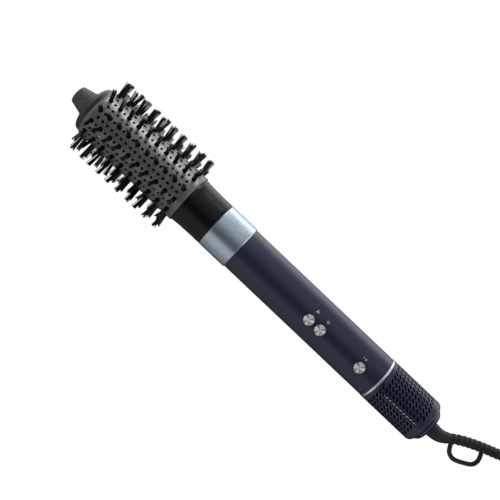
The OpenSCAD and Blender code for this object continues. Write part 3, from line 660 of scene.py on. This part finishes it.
# Painted shade: the punched edges and the inside are painted almost black and lose their metal, for
# the shade in the holes; only the outside keeps the grey.
barrel_shade_gate = barrel_metal.step(barrel_out, BARREL_R - 0.45, BARREL_R - 0.1)
barrel_metal.wear(0.12, 5, 0.05, 0.5, 0.006, (tint("#070707"), barrel_shade_gate))
barrel_metal.feed("Metallic", barrel_shade_gate * 0.5)
cool_plastic = finish("cool_plastic", "#2b2b2c", 0.45, (0.08, 5, 0.05, 0.35, 0.01))
nylon = finish("nylon", "#050506", 0.32, (0.25, 3), ior=1.42)
neck_gloss = finish("neck_gloss", "#0a0a0a", 0.22, (0.08, 14, 0.03), ior=1.3)
print("finishes:", len(bpy.data.materials))

# %% Palette of the handle
LACQUER = {"ior": 1.5, "gloss_tint": "#e0eaff"}
navy = finish("navy_lacquer", "#191c2c", 0.3, (0.05, 20, 0.03, 0.25, 0.002), **LACQUER)
sleeve_navy = Look("sleeve_navy", "#1a1c30", 0.34, **LACQUER)
sleeve_out, _ = out_from_axis(sleeve_navy)
# Painted shade: the slot walls and the inside are painted almost black, for the shade in the slots.
sleeve_shade_gate = sleeve_navy.step(sleeve_out, SLEEVE_R - 0.8, SLEEVE_R - 0.2)
sleeve_navy.wear(0.06, 8, 0.04, 0.3, 0.003, (tint("#06070f"), sleeve_shade_gate))
blue_metal = finish("blue_metal", "#a8b7c5", 0.17, (0.05, 12, 0.03), metallic=0.85)
_, collar_station = out_from_axis(blue_metal)
# Turning leaves faint rings, less than a millimetre apart and uneven in depth.
one_way = {"noise_dimensions": "1D"}
rings = blue_metal.add("ShaderNodeTexNoise", one_way, W=collar_station, Scale=1.6, Detail=1.0)
blue_metal.bumps(rings, 0.003)
chrome = finish("chrome_ring", "#d6dad8", 0.2, (0.03, 4, 0.04), metallic=0.85)
spun_metal = Look("spun_metal", "#d2d4d0", 0.24, metallic=0.9)
wedge_highlight = spun_metal.add("ShaderNodeAttribute", {"attribute_name": "wedge_highlight"}, output=2)
# Painted highlight: the base colour runs from grey to near white with the wedge highlight, for the
# spun grain's reflections.
spun_metal.feed("Base Color", spun_metal.mix(tint("#6d6f6e"), tint("#fbfcfa"), wedge_highlight))
spun_metal.feed("Roughness", wedge_highlight * 0.1 + 0.2)
rubber = finish("cord_rubber", "#0f100e", 0.45, (0.15, 7, 0.06, 0.4, 0.01), ior=1.4)
print_grey = finish("icon_print", "#9a9daa", 0.5, (0.1, 1))
shadow_gap = finish("shadow_gap", "#07080d", 0.5, (0.1, 2))
# Painted highlight: a pale bar behind the slots stands for the glints in one column of them.
painted_glint = finish("painted_filter_glint", "#c9d3e4", 0.25, (0.3, 1.5), metallic=0.3)
print("finishes:", len(bpy.data.materials))

# %% [markdown]
# ## The pierced barrel
# On the real styler the barrel is a sheet of aluminium that is punched flat and rolled. The
# model follows the same order. One cell is a rectangle with a round hole in it: two loops
# of sixteen points, bridged. Array repeats the cells along and across the sheet, and only
# then is the sheet rolled round the axis and given its thickness. That keeps every hole
# round and every face even, which boolean cuts in a cylinder don't.

# %% One punched cell
CELL_POINTS = 16


def punched_cell(width, height, hole_length, hole_width, hole_angle=0.0, lean=0.0):
    """A cell with a round or long hole: the cell's border bridged to the hole's edge."""
    cell = drawn("plane", size=1)
    bpy.ops.transform.resize(value=(width, height, 1))
    bpy.ops.mesh.subdivide(number_cuts=CELL_POINTS // 4 - 1)
    choose(cell, "verts", lambda v: max(abs(v.co.x / width), abs(v.co.y / height)) < 0.49)
    bpy.ops.mesh.delete(type="VERT")
    bpy.ops.mesh.primitive_circle_add(vertices=CELL_POINTS, radius=hole_width / 2)
    stretch = (hole_length - hole_width) / 2
    mesh = bmesh.from_edit_mesh(cell.data)
    for v in mesh.verts:
        if v.select:
            v.co.x += math.copysign(stretch, v.co.x) if abs(v.co.x) > 0.001 else 0
            x, y, a = v.co.x, v.co.y, hole_angle
            v.co.x, v.co.y = x * math.cos(a) - y * math.sin(a), x * math.sin(a) + y * math.cos(a)
        else:
            v.co.y += lean * v.co.x / width
    bpy.ops.mesh.select_all(action="SELECT")
    bpy.ops.mesh.bridge_edge_loops()
    done()
    return cell


# %% Working on a flat sheet
LEVEL = 0.02


def slide(piece, x, y):
    piece.data.transform(Matrix.Translation((x, y, 0)))
    return piece


def rows_of(piece, count, dx, dy):
    apply_modifier(
        piece, "ARRAY", count=count, use_relative_offset=False, use_constant_offset=True,
        constant_offset_displace=(dx, dy, 0), use_merge_vertices=True, merge_threshold=0.01,
    )
    return piece


def fused(pieces):
    """Joins pieces into one object and leaves their meshes as they are."""
    pick(*pieces)
    bpy.ops.object.join()
    return pieces[0]


def joined(*pieces):
    """Joins sheets, and merges the points along their seams."""
    merged(fused(pieces))
    return pieces[0]


def grow_edge(piece, at, steps):
    """Extrudes the open edge that lies at one height through a list of new heights."""
    edit(piece, "DESELECT")
    choose(piece, "edges", lambda edge: all(abs(v.co.y - at) < LEVEL for v in edge.verts))
    for height in steps:
        bpy.ops.mesh.extrude_edges_move(TRANSFORM_OT_translate={"value": (0, height - at, 0)})
        at = height
    done()


def cut_level(piece, at, keep_above):
    """Cuts the sheet level, and drops what lies beyond the cut."""
    edit(piece)
    bpy.ops.mesh.bisect(
        plane_co=(0, at, 0), plane_no=(0, 1, 0), clear_inner=keep_above, clear_outer=not keep_above,
    )
    done()


def rolled(piece, radius, surface):
    """Rolls a flat sheet round the axis; surface(y) gives the radius and the station."""
    for v in piece.data.vertices:
        a, (r, z) = v.co.x / radius, surface(v.co.y)
        v.co = (r * math.cos(a), r * math.sin(a), z)


# %% The barrel's sheet
ROWS, PER_ROW = 12, 10
TUFT_HOLE, AIR_HOLE = 3.9, 2.2
FIRST_TUFT, LAST_TUFT = 24.6, 104.6
TUFT_PITCH = (LAST_TUFT - FIRST_TUFT) / (PER_ROW - 1)
COLUMN = math.tau * BARREL_R / ROWS / 2
HALF = TUFT_PITCH / 2
tuft_cell = slide(punched_cell(COLUMN, HALF, TUFT_HOLE, TUFT_HOLE), 0, FIRST_TUFT)
air_cell = slide(punched_cell(COLUMN, HALF, AIR_HOLE, AIR_HOLE), 0, FIRST_TUFT + HALF)
tuft_column = rows_of(joined(tuft_cell, air_cell), PER_ROW, 0, TUFT_PITCH)
SHEET_FRONT, SHEET_BACK = FIRST_TUFT - HALF / 2, LAST_TUFT + HALF / 2
cut_level(tuft_column, SHEET_BACK, False)
air_cell = punched_cell(COLUMN, HALF, AIR_HOLE, AIR_HOLE)
air_column = slide(air_cell, -COLUMN, FIRST_TUFT + HALF / 2)
rows_of(air_column, 2 * PER_ROW - 2, 0, HALF)
grow_edge(air_column, FIRST_TUFT, [FIRST_TUFT - HALF / 4, SHEET_FRONT])
grow_edge(air_column, LAST_TUFT, [LAST_TUFT + HALF / 4, SHEET_BACK])
barrel = rows_of(joined(tuft_column, air_column), ROWS, 2 * COLUMN, 0)
print("barrel sheet:", tris(barrel), "triangles flat")

# %% Rolling the barrel
# The rounded shoulder at the cool tip, as stations and radii.
SHOULDER = [(16.6, 18.2), (17.1, 18.5), (17.6, 18.68), (18.6, 18.9), (19.3, 18.98), (20.0, 19.0)]
# A sheet ends a little inside its solid, and its edge is broken from 0.3 mm before the end.
INSIDE, BROKEN, BROKEN_BY = 0.02, 0.3, 0.15
BAND_BACK = 108.6
to_front = [station for station, _ in reversed(SHOULDER[1:])]
grow_edge(barrel, SHEET_FRONT, to_front + [BARREL_FRONT + INSIDE])
grow_edge(barrel, SHEET_BACK, [BAND_BACK, BARREL_BACK - BROKEN, BARREL_BACK - INSIDE])


def shoulder(y):
    """The barrel's outline: a rounded shoulder at the cool tip and a broken rear edge."""
    if y > BARREL_BACK - BROKEN / 2:
        return BARREL_R - BROKEN_BY, y
    for (y0, r0), (y1, r1) in zip(SHOULDER, SHOULDER[1:]):
        if y < y1:
            return r0 + (r1 - r0) * max(y - y0, 0) / (y1 - y0), y
    return BARREL_R, y


def walled(sheet, radius, surface, wall, start):
    """Rolls a sheet up from an angle, closes its seam, and gives it a wall on the inside."""
    rolled(sheet, radius, surface)
    merged(sheet)
    sheet.data.transform(turn_by(start, "Z"))
    apply_modifier(sheet, "SOLIDIFY", thickness=wall, offset=-1)
    soften(sheet, 50)


# The first tuft column is centred half a row round from the buttons.
walled(barrel, BARREL_R, shoulder, 1.15, 180 / ROWS)
lay_down(barrel, "pierced_barrel", "brush_head", "barrel_grey", barrel_metal, "barrel")

# %% [markdown]
# ## The slotted inlet sleeve
# The sleeve is made in the same way, with a slanted slot in each cell. Every column of
# slots starts a little further on than its neighbour, so the cells lean: thirty columns
# add up to four whole cells, and the sheet closes when it is rolled. Level cuts trim its
# ends, the rear edge is extruded round a quarter circle, and the sheet gets its wall.

# %% The sleeve's sheet
SLOT_COLUMNS, SLOTS, CELLS_ROUND = 30, 11, 4
SLOT_PITCH, FIRST_SLOT = 3.29, 301.2
SLOT_LENGTH, SLOT_WIDTH, SLOT_SLANT = 3.9, 1.5, math.radians(45)
SLOT_COLUMN = math.tau * SLEEVE_R / SLOT_COLUMNS
LEAN = SLOT_PITCH * CELLS_ROUND / SLOT_COLUMNS
slot_cell = punched_cell(SLOT_COLUMN, SLOT_PITCH, SLOT_LENGTH, SLOT_WIDTH, SLOT_SLANT, LEAN)
slot_column = rows_of(slide(slot_cell, 0, FIRST_SLOT), SLOTS, 0, SLOT_PITCH)
print("slot column:", tris(slot_column), "triangles")


# %% Columns of slots
def copy_of(piece):
    """A copy with its own mesh."""
    return placed(piece.name, piece.data.copy())


SLOTS_FRONT, SLOTS_BACK = 299.0, 339.4
BLANKS, BLANK_HOLE = 2, 1.0
# A blank cell is punched as well, and its small hole is closed to one point.
blank = punched_cell(SLOT_COLUMN, SLOT_PITCH, BLANK_HOLE, BLANK_HOLE, 0, LEAN)
slide(blank, 0, FIRST_SLOT - SLOT_PITCH)
edit(blank, "DESELECT")
blank_middle = Vector((0, FIRST_SLOT - SLOT_PITCH, 0))
choose(blank, "verts", lambda v: (v.co - blank_middle).length < 0.6 * BLANK_HOLE)
bpy.ops.mesh.merge(type="CENTER")
done()
blanks_front = rows_of(copy_of(blank), BLANKS, 0, -SLOT_PITCH)
blanks_back = slide(rows_of(blank, BLANKS, 0, SLOT_PITCH), 0, (SLOTS + 1) * SLOT_PITCH)
slot_column = joined(slot_column, blanks_front, blanks_back)
columns = []
for i in range(SLOT_COLUMNS):
    shift = (i * CELLS_ROUND / SLOT_COLUMNS) % 1 * SLOT_PITCH
    columns.append(slide(copy_of(slot_column), i * SLOT_COLUMN, shift))
bpy.data.objects.remove(slot_column)
sleeve = joined(*columns)
cut_level(sleeve, SLOTS_FRONT, True)
cut_level(sleeve, SLOTS_BACK, False)
print("sleeve sheet:", tris(sleeve), "triangles flat")

# %% Rolling the sleeve
FLAT_END, EDGE_ROUND = 341.0, 3.4
EDGE_STEPS = [FLAT_END + EDGE_ROUND * math.radians(a) for a in (12, 24, 36, 48, 60, 73, 86.6)]
grow_edge(sleeve, SLOTS_FRONT, [SLEEVE_FRONT + BROKEN, SLEEVE_FRONT + INSIDE])
grow_edge(sleeve, SLOTS_BACK, [FLAT_END] + EDGE_STEPS)


def round_end(y):
    """The sleeve's outline: a broken front edge and a rear edge of 3.4 mm radius."""
    if y < SLEEVE_FRONT + BROKEN / 2:
        return SLEEVE_R - BROKEN_BY, y
    if y < FLAT_END:
        return SLEEVE_R, y
    a = (y - FLAT_END) / EDGE_ROUND
    return SLEEVE_R - EDGE_ROUND + EDGE_ROUND * math.cos(a), FLAT_END + EDGE_ROUND * math.sin(a)


walled(sleeve, SLEEVE_R, round_end, 1.25, 0)
lay_down(sleeve, "slotted_sleeve", "inlet_sleeve", "sleeve_navy", sleeve_navy, "filter_sleeve")

# %% [markdown]
# The filter behind the slots is a strip of fine mesh. A pale bar along one line of it is a
# painted highlight: it stands for the glints in one column of slots. It is a
# flat bar, bevelled, then rolled on to the filter.

# %% The painted glint on the filter
FILTER_R = stations_of("filter_mesh", NOSE)[2]
GLINT_BAR_SIZE, GLINT_BAR_BEVEL = (0.24, 0.9, 30.6), 0.08
GLINT_BAR_MIDDLE, GLINT_BAR_DEGREES = 321.2, 13.8
# The bar of painted highlight.
seam = drawn("cube", size=1)
bpy.ops.transform.resize(value=GLINT_BAR_SIZE)
bpy.ops.mesh.bevel(offset=GLINT_BAR_BEVEL, segments=2, affect="EDGES")
done()
on_filter = Matrix.Translation((FILTER_R + GLINT_BAR_BEVEL, 0, GLINT_BAR_MIDDLE))
seam.data.transform(turn_by(GLINT_BAR_DEGREES, "Z") @ on_filter)
soften(seam, 30)
lay_down(seam, "filter_seam", "inlet_sleeve", "inner_black", painted_glint)

# %% [markdown]
# ## Bristles
# A tuft is a pinch of nylon strands, folded in half and stapled into its hole, so it leaves
# the barrel as a tight bundle and fans out a little. One strand is a thin three-sided bar
# that is extruded from a triangle. Its copies lean and turn at random, with a fixed seed,
# in six different tufts. Each row then takes its ten tufts from these six, so that no two
# rows look alike, while a strand keeps only a few faces.

# %% Strands, almost straight to bowed
ROOT_R, STRAND_TIP_R = 17.2, 32.2
STRAND, BALL, BALL_AT = 0.58, 1.3, 0.94
KNOTS = (0, 0.5, 0.88, BALL_AT, 1)
random.seed(11)


def strand(bow):
    """A strand that stands on the bench, its tip pushed sideways by bow."""
    piece = drawn("circle", vertices=3, radius=STRAND / 2, fill_type="NGON")
    reach = STRAND_TIP_R - ROOT_R
    for low, high in zip(KNOTS, KNOTS[1:]):
        step = (bow * (high ** 2 - low ** 2), 0, (high - low) * reach)
        bpy.ops.mesh.extrude_region_move(TRANSFORM_OT_translate={"value": step})
        if high == BALL_AT:
            bpy.ops.transform.resize(value=(BALL, BALL, 1))
    outward()
    return piece


strands = [strand(bow) for bow in (0.1, 0.4, 0.8)]
print("one strand:", tris(strands[0]), "triangles")

# %% Six tufts
STRANDS, FOOT_R, GOLDEN = 14, 1.2, 0.382
FAN, UNEVEN, UNEVEN_TURN = 0.02, 0.013, 0.4
LEANS = [(0, 0), (0.03, 0.02), (-0.02, 0.03), (0.03, -0.02), (-0.03, -0.02), (0.01, -0.03)]


def tuft(lean, curl):
    """A tuft of strands that share a lean and a curl, and differ a little from each other."""
    bundle = []
    for i in range(STRANDS):
        piece = copy_of(random.choice(strands))
        a, r = math.tau * i * GOLDEN, FOOT_R * math.sqrt((i + 0.5) / STRANDS)
        x, y = r * math.cos(a), r * math.sin(a)
        fan = Matrix.Rotation(FAN * x + lean[0] + random.gauss(0, UNEVEN), 4, "Y")
        tip = Matrix.Rotation(-FAN * y + lean[1] + random.gauss(0, UNEVEN), 4, "X")
        twist = Matrix.Rotation(curl + random.gauss(0, UNEVEN_TURN), 4, "Z")
        short = Matrix.Diagonal((1, 1, random.choice((0.9, 0.97, 1.0, 1.0)), 1))
        piece.data.transform(Matrix.Translation((x, y, 0)) @ fan @ tip @ short @ twist)
        bundle.append(piece)
    return fused(bundle)


tufts = [tuft(lean, random.uniform(0, math.tau)) for lean in LEANS]
print("one tuft:", tris(tufts[0]), "triangles")

# %% [markdown]
# Every tuft stands in a round boss that fills its hole. The bosses of a row belong to one
# moulded strip behind the barrel's wall, of which only a short piece is made here.

# %% Strip
STRIP_OUT, STRIP_IN, STRIP_HALF = 17.7, 16.2, 9.05
STRIP_MIDDLE, STRIP_LENGTH = 63.95, 1
strip = drawn("plane", size=1)
bpy.ops.transform.resize(value=(STRIP_OUT - STRIP_IN, STRIP_LENGTH, 1))
done()
in_barrel = Matrix.Translation(((STRIP_OUT + STRIP_IN) / 2, 0, STRIP_MIDDLE))
strip.data.transform(turn_by(-STRIP_HALF, "Z") @ in_barrel @ turn_by(90, "X"))
edit(strip)
spin(6, 2 * STRIP_HALF)
outward()
print("strip:", tris(strip), "triangles")

# %% Boss
BOSS_R, BOSS_DEPTH, BOSS_MIDDLE = 1.75, 1.7, 0.55
BOSS_EDGE, BOSS_RISE = 0.3, 0.25
boss = drawn("cylinder", vertices=14, radius=BOSS_R, depth=BOSS_DEPTH)
choose(boss, "faces", lambda face: face.normal.z > 0.9)
bpy.ops.mesh.inset(thickness=BOSS_EDGE)
bpy.ops.transform.translate(value=(0, 0, BOSS_RISE))
done()
boss.data.transform(Matrix.Translation((0, 0, BOSS_MIDDLE)))
print("boss:", tris(boss), "triangles")

# %% Twelve rows
for row in range(ROWS):
    found = [copy_of(strip)]
    for k in range(PER_ROW):
        here = Matrix.Translation((ROOT_R, 0, FIRST_TUFT + k * TUFT_PITCH)) @ turn_by(90, "Y")
        place = here @ turn_by(random.choice((0, 180)), "Z")
        for piece in (copy_of(random.choice(tufts)), copy_of(boss)):
            piece.data.transform(place)
            found.append(piece)
    bristles = fused(found)
    bristles.data.transform(turn_by((row + 0.5) * 360 / ROWS, "Z"))
    # No strand reaches further out than the solid row.
    for v in bristles.data.vertices:
        share = min(1, STRAND_TIP_R / math.hypot(v.co.x, v.co.y))
        v.co.x, v.co.y = v.co.x * share, v.co.y * share
    number = "%02d" % (row + 1)
    node = "bristle_row_" + number
    lay_down(bristles, "bristles_" + number, "brush_head", "bristle_black", nylon, node)
for spare in strands + tufts + [strip, boss]:
    bpy.data.objects.remove(spare)

# %% [markdown]
# ## A dark tube of painted shade
# Looking into a hole one would see straight through the barrel and out on the other side.
# A thin dark tube round the tie rod closes that view: it is painted shade, a dark piece put
# where the inside of the barrel lies in shade. It is turned from a flared outline, and seen
# only as darkness behind the holes.

# %% Dark tube of painted shade
SHADE_TUBE_WALL = 0.8
shade_tube_out = [
    (6.5, 103), (9.0, 96), (11.0, 88), (12.0, 78), (12.2, 40), (11.6, 31), (9.0, 26), (6.5, 24),
]
shade_tube_in = [(r - SHADE_TUBE_WALL, z) for r, z in reversed(shade_tube_out)]
# A dark piece of painted shade, for the darkness inside the barrel.
air_guide = turned(shade_tube_out + shade_tube_in, 48, 50)
lay_down(air_guide, "air_guide", "brush_head", "cool_black", shadow_gap)

# %% [markdown]
# ## Cool tip, neck and buttons
# These three are moulded or spun round their own axis. Their outlines come from a few
# points on a smooth curve, so they catch the light without flat facets. The cool tip
# flares to a thin rim that stands in front of the barrel's rounded shoulder.

# %% Outlines from a few points
def flowing(points):
    """Profile points (radius, station) on a smooth curve through (station, radius) ones."""
    return [(p.x, p.y) for p in smooth([Vector((r, z, 0)) for z, r in points], 4)]


# %% Cool tip
ROUND = 120
nose_face = [(0, 0)] + arc((5.2, 2), 2, range(-90, 0, 15))
flare = flowing([
    (2.0, 7.2), (5.5, 8.15), (9.4, 9.1), (10.8, 9.7), (12.0, 10.4), (12.7, 11.6),
    (13.3, 13.5), (14.0, 15.75), (15.0, 17.4), (15.9, 18.2),
])
rim_and_inside = [
    (18.38, 16.1), (18.4, 16.4), (18.3, 16.58), (16.0, 16.6), (16.0, 19.2), (2.7, 19.2),
    (2.7, 3.0), (0, 3.0),
]
tip_piece = turned(nose_face + flare + rim_and_inside, ROUND, 45, closed=False)
lay_down(tip_piece, "cool_tip_shell", "brush_head", "cool_black", cool_plastic, "cool_tip")

# %% Neck
tongue = [(17.0, 107.9), (17.7, 107.9), (17.7, 110.52), (18.5, 110.52), (18.72, 110.65)]
neck_curve = flowing([
    (110.9, 18.8), (112.6, 18.75), (115.1, 18.5), (119.0, 18.28), (123.5, 18.2),
    (128.5, 18.05), (136.4, 18.05),
])
rear_edge = [(17.95, 136.65), (17.75, 136.78), (17.0, 136.78)]
neck_piece = turned(tongue + neck_curve + rear_edge, ROUND, 45)
lay_down(neck_piece, "gloss_neck", "brush_head", "neck_black", neck_gloss, "neck")

# %% Buttons
BUTTON_R, BUTTON_TOP, BUTTON_ROLL = 4.2, 17.5, 6
BUTTON_EDGE = 0.35
GROOVES, GROOVES_IN, GROOVE, GROOVE_DEPTH = 11, 0.4, 0.34, 0.065
button_profile = [(0, 14.9), (4.8, 14.9), (4.8, 15.4), (BUTTON_R, 15.4)]
edge_middle = (BUTTON_R - BUTTON_EDGE, BUTTON_TOP - BUTTON_EDGE)
button_profile += arc(edge_middle, BUTTON_EDGE, (0, 22.5, 45, 67.5, 90))
for k in range(GROOVES):
    r = BUTTON_R - GROOVES_IN - k * GROOVE
    button_profile += [(r - GROOVE / 2, BUTTON_TOP - GROOVE_DEPTH), (r - GROOVE, BUTTON_TOP)]
button_profile += [(0, BUTTON_TOP)]
BUTTONS = {"fan": 231.05, "heat": 241.65, "power": 279.85}


def paint_wedge_highlights(cap):
    """Keeps, at each point, a painted highlight level for the base colour: fans of painted
    highlight for the light on the spun grain.
    """
    marks = cap.data.attributes.new("wedge_highlight", "FLOAT", "POINT")
    for v, mark in zip(cap.data.vertices, marks.data):
        a, r = math.atan2(v.co.y, v.co.x), math.hypot(v.co.x, v.co.y)
        fans = 0.5 + 0.3 * math.sin(4 * a + 0.6) + 0.2 * math.sin(7 * a + 2)
        fans += 0.1 * math.sin(13 * a)
        mark.value = min(1, max(0, fans if r < BUTTON_R - 0.2 else 0.8))


for name, station in BUTTONS.items():
    cap = turned(button_profile, 64, 30, closed=False)
    paint_wedge_highlights(cap)
    stand = turn_by(BUTTON_ROLL, "Z") @ Matrix.Translation((0, 0, station))
    cap.data.transform(stand @ turn_by(90, "Y"))
    lay_down(cap, name + "_button_cap", name + "_key", "button_metal", spun_metal, name + "_button")

# %% [markdown]
# ## Icons beside the buttons
# Small grey signs are printed on the lacquer, about 8 mm round the handle from each button:
# three blades for the fan, a ring with rays for heat, a bar and a ring for power. A print
# has next to no thickness. It is drawn flat, as the sheets were, rolled on to the handle a
# few hundredths of a millimetre proud of the lacquer, and given a thin body.

# %% Flat signs
def blade(x, y, length, width, angle, vertices=14):
    """A flat oval, turned and set down at x, y on the unrolled handle."""
    piece = drawn("circle", vertices=vertices, radius=0.5, fill_type="NGON")
    bpy.ops.transform.resize(value=(width, length, 1))
    done()
    piece.data.transform(Matrix.Translation((x, y, 0)) @ Matrix.Rotation(angle, 4, "Z"))
    return piece


def thin_ring(x, y, diameter, line, vertices=24):
    """A flat ring: a disc whose face is inset and then opened."""
    piece = blade(x, y, diameter, diameter, 0, vertices)
    edit(piece)
    bpy.ops.mesh.inset(thickness=line)
    bpy.ops.mesh.delete(type="FACE")
    done()
    return piece


def rays(x, y, far, degrees, swirl, length, width, vertices):
    """Flat ovals round x, y that point outward, each moved on by the swirl."""
    found = []
    for a in map(math.radians, degrees):
        at = (x + far * math.sin(a + swirl), y + far * math.cos(a + swirl))
        found.append(blade(*at, length, width, -a, vertices))
    return found


# %% Signs on the handle
PROUD, PRINT = 0.035, 0.05


def printed(name, pieces, look):
    """Rolls flat pieces on to the handle and gives them a thin body."""
    sign = fused(pieces)
    rolled(sign, HANDLE_R, lambda y: (HANDLE_R + PROUD, y))
    apply_modifier(sign, "SOLIDIFY", thickness=PRINT, offset=0)
    merged(sign, 0.001)
    lay_down(sign, name, "handle", "ring_chrome", look)


def sign_place(button, round_degrees, back):
    """Where a sign stands on the unrolled handle, from its button."""
    return math.radians(BUTTON_ROLL - round_degrees) * HANDLE_R, BUTTONS[button] + back


x, y = sign_place("fan", 28.6, 0.8)
hub = blade(x, y, 0.5, 0.5, 0)
blades = rays(x, y, 0.85, (0, 120, 240), 0.35, 1.5, 0.75, 14)
printed("fan_sign", blades + [hub], print_grey)
x, y = sign_place("heat", 27.0, 0.5)
heat = rays(x, y, 1.35, range(30, 390, 60), 0, 0.55, 0.25, 8)
printed("heat_sign", [thin_ring(x, y, 1.7, 0.3)] + heat, print_grey)
x, y = sign_place("power", 24.5, -1.6)
bar = blade(x, y - 1.1, 0.35, 1.5, 0, 10)
printed("power_sign", [bar, thin_ring(x, y + 1.1, 1.5, 0.32)], print_grey)

# %% [markdown]
# The edge of each button's hole is broken by a small bevel that lies in the shade. A flat
# dark ring round the hole, rolled on in the same way, gives that line without a new shell.

# %% Edges of the holes
HOLE_EDGE, EDGE_LINE = 9.9, 0.5
for name in BUTTONS:
    x, y = sign_place(name, 0, 0)
    printed(name + "_hole_edge", [thin_ring(x, y, HOLE_EDGE, EDGE_LINE, 56)], shadow_gap)

# %% [markdown]
# ## Strain relief and hanging loop
# The cord leaves through a soft moulded sleeve: a smooth tapered root, then a ribbed part
# that bends easily. A curve with a radius at every point makes it in one piece, since its
# bevel follows the bend. The loop is moulded to it, and is a plain round bar.

# %% Along the cord's axis
RELIEF = [
    (0.4, 0, 0), (4, 0, 0), (9, 0.2, 0.3), (13, 1.5, 0.9), (17.5, 3.85, 1.8),
    (23.3, 7.45, 2.95), (29, 10.3, 4.1), (35, 12.87, 5.3), (41, 15.2, 6.3), (47, 17.3, 7.3),
    (52.5, 19.2, 8.2), (57, 20.9, 8.95),
]
LOOP = [
    (19.4, 5), (20.9, 2.2), (22.6, -0.8), (24.7, -3.4), (27.5, -5), (31, -5.4), (34.8, -4.3),
    (38.5, -2.6), (42, -0.8), (44.4, 1.2), (45.4, 4), (45.1, 7), (43.7, 10), (41.6, 13.4),
]


def past_tail(past, sideways, down):
    """A point past the tail face, sideways to +Y and down from the axis, in mm."""
    return along(TAIL_BACK + past) + SIDE * sideways * MM - UP * down * MM


# %% Relief and loop
RIM_END, RIM_R = 1, 5.83
ROOT_OUT, RIBS_FROM, RIB_PITCH, RIB_R, RIB_DEPTH = 5.7, 18.2, 3.54, 3.95, 1.05
LOOP_R = 1.7 * MM


def relief_radius(past):
    """A short rim, a smooth taper, then ribs like round beads."""
    if past < RIM_END:
        return RIM_R
    if past < RIBS_FROM:
        return ROOT_OUT - (ROOT_OUT - RIB_R + 0.3) * (past / RIBS_FROM) ** 1.9
    bead = abs(math.sin(math.pi * (past - RIBS_FROM) / RIB_PITCH))
    return RIB_R - RIB_DEPTH + RIB_DEPTH * bead ** 0.5


spine = smooth([past_tail(*p) for p in [(-2.9, 0, 0)] + RELIEF], 20)
swell = [relief_radius((p - along(TAIL_BACK)).dot(AXIS) / MM) * MM for p in spine]
relief = round_bar("cord_relief", spine, swell)
on_swivel(relief, "strain_relief")
loop_path = smooth([past_tail(a, b, 0.2 * (a - 8.6)) for a, b in LOOP], 5)
loop_bar = round_bar("loop_bar", loop_path, [LOOP_R] * len(loop_path))
on_swivel(loop_bar, "hanging_loop")
dress(rubber, power_cord, relief, loop_bar)
print("relief:", len(spine), "points, loop:", len(loop_path), "points")

# %% [markdown]
# ## Finishes for the CAD pieces
# The collar, the handle, the trim ring and the inner parts already have their right shape,
# so they keep it and get their finish.

# %% Dressing the CAD nodes
def dress_nodes(look, names):
    dress(look, *[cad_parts[name] for name in names.split()])


dress_nodes(blue_metal, "collar")
dress_nodes(navy, "handle_shell tail_cap")
dress_nodes(chrome, "trim_ring")
dress_nodes(rubber, "plug_body")
# Name, colour, roughness, metallic, wear as share and size in mm, and the nodes.
INNER = [
    ("dark_plastic", "#1a1a1c", 0.5, 0, 0.1, 6,
     "outlet_spigot spider tail_core swivel_bush chassis"),
    ("filter_cloth", "#06070f", 0.6, 0, 0.2, 2, "filter_mesh"),
    ("steel", "#b4b4b2", 0.3, 1, 0.06, 4,
     "tie_rod screws bearings fan_shaft thermostat motor_can plug_pins"),
    ("mica", "#b09a70", 0.55, 0, 0.2, 4, "mica_tube heater_boards"),
    ("heating_wire", "#8a8480", 0.35, 1, 0.1, 2, "heating_wire thermal_fuse"),
    ("circuit_board", "#1f5a34", 0.45, 0, 0.15, 5, "circuit_board"),
    ("components", "#2a2a28", 0.5, 0, 0.2, 2, "board_parts tact_switches"),
    ("silicone", "#a03a2c", 0.6, 0, 0.1, 4, "seal_ring"),
    ("mount_rubber", "#2a2a2a", 0.7, 0, 0.1, 4, "duct_mounts"),
    ("copper_stack", "#a8683a", 0.35, 1, 0.1, 2, "stator_core"),
    ("magnet", "#4a4a50", 0.5, 0.4, 0.1, 3, "magnet_rotor"),
    ("red_lead", "#7a2a2a", 0.5, 0, 0.1, 5, "leads"),
    ("ivory", "#d8d2c0", 0.5, 0, 0.05, 3, "fan_plunger heat_plunger power_plunger"),
    ("grey_plastic", "#5c5f66", 0.5, 0, 0.08, 6, "fan_duct impeller"),
]
for name, colour, roughness, metallic, share, size, nodes in INNER:
    look = finish(name, colour, roughness, (share, size), metallic=metallic)
    dress_nodes(look, nodes)
print("finishes:", len(bpy.data.materials))
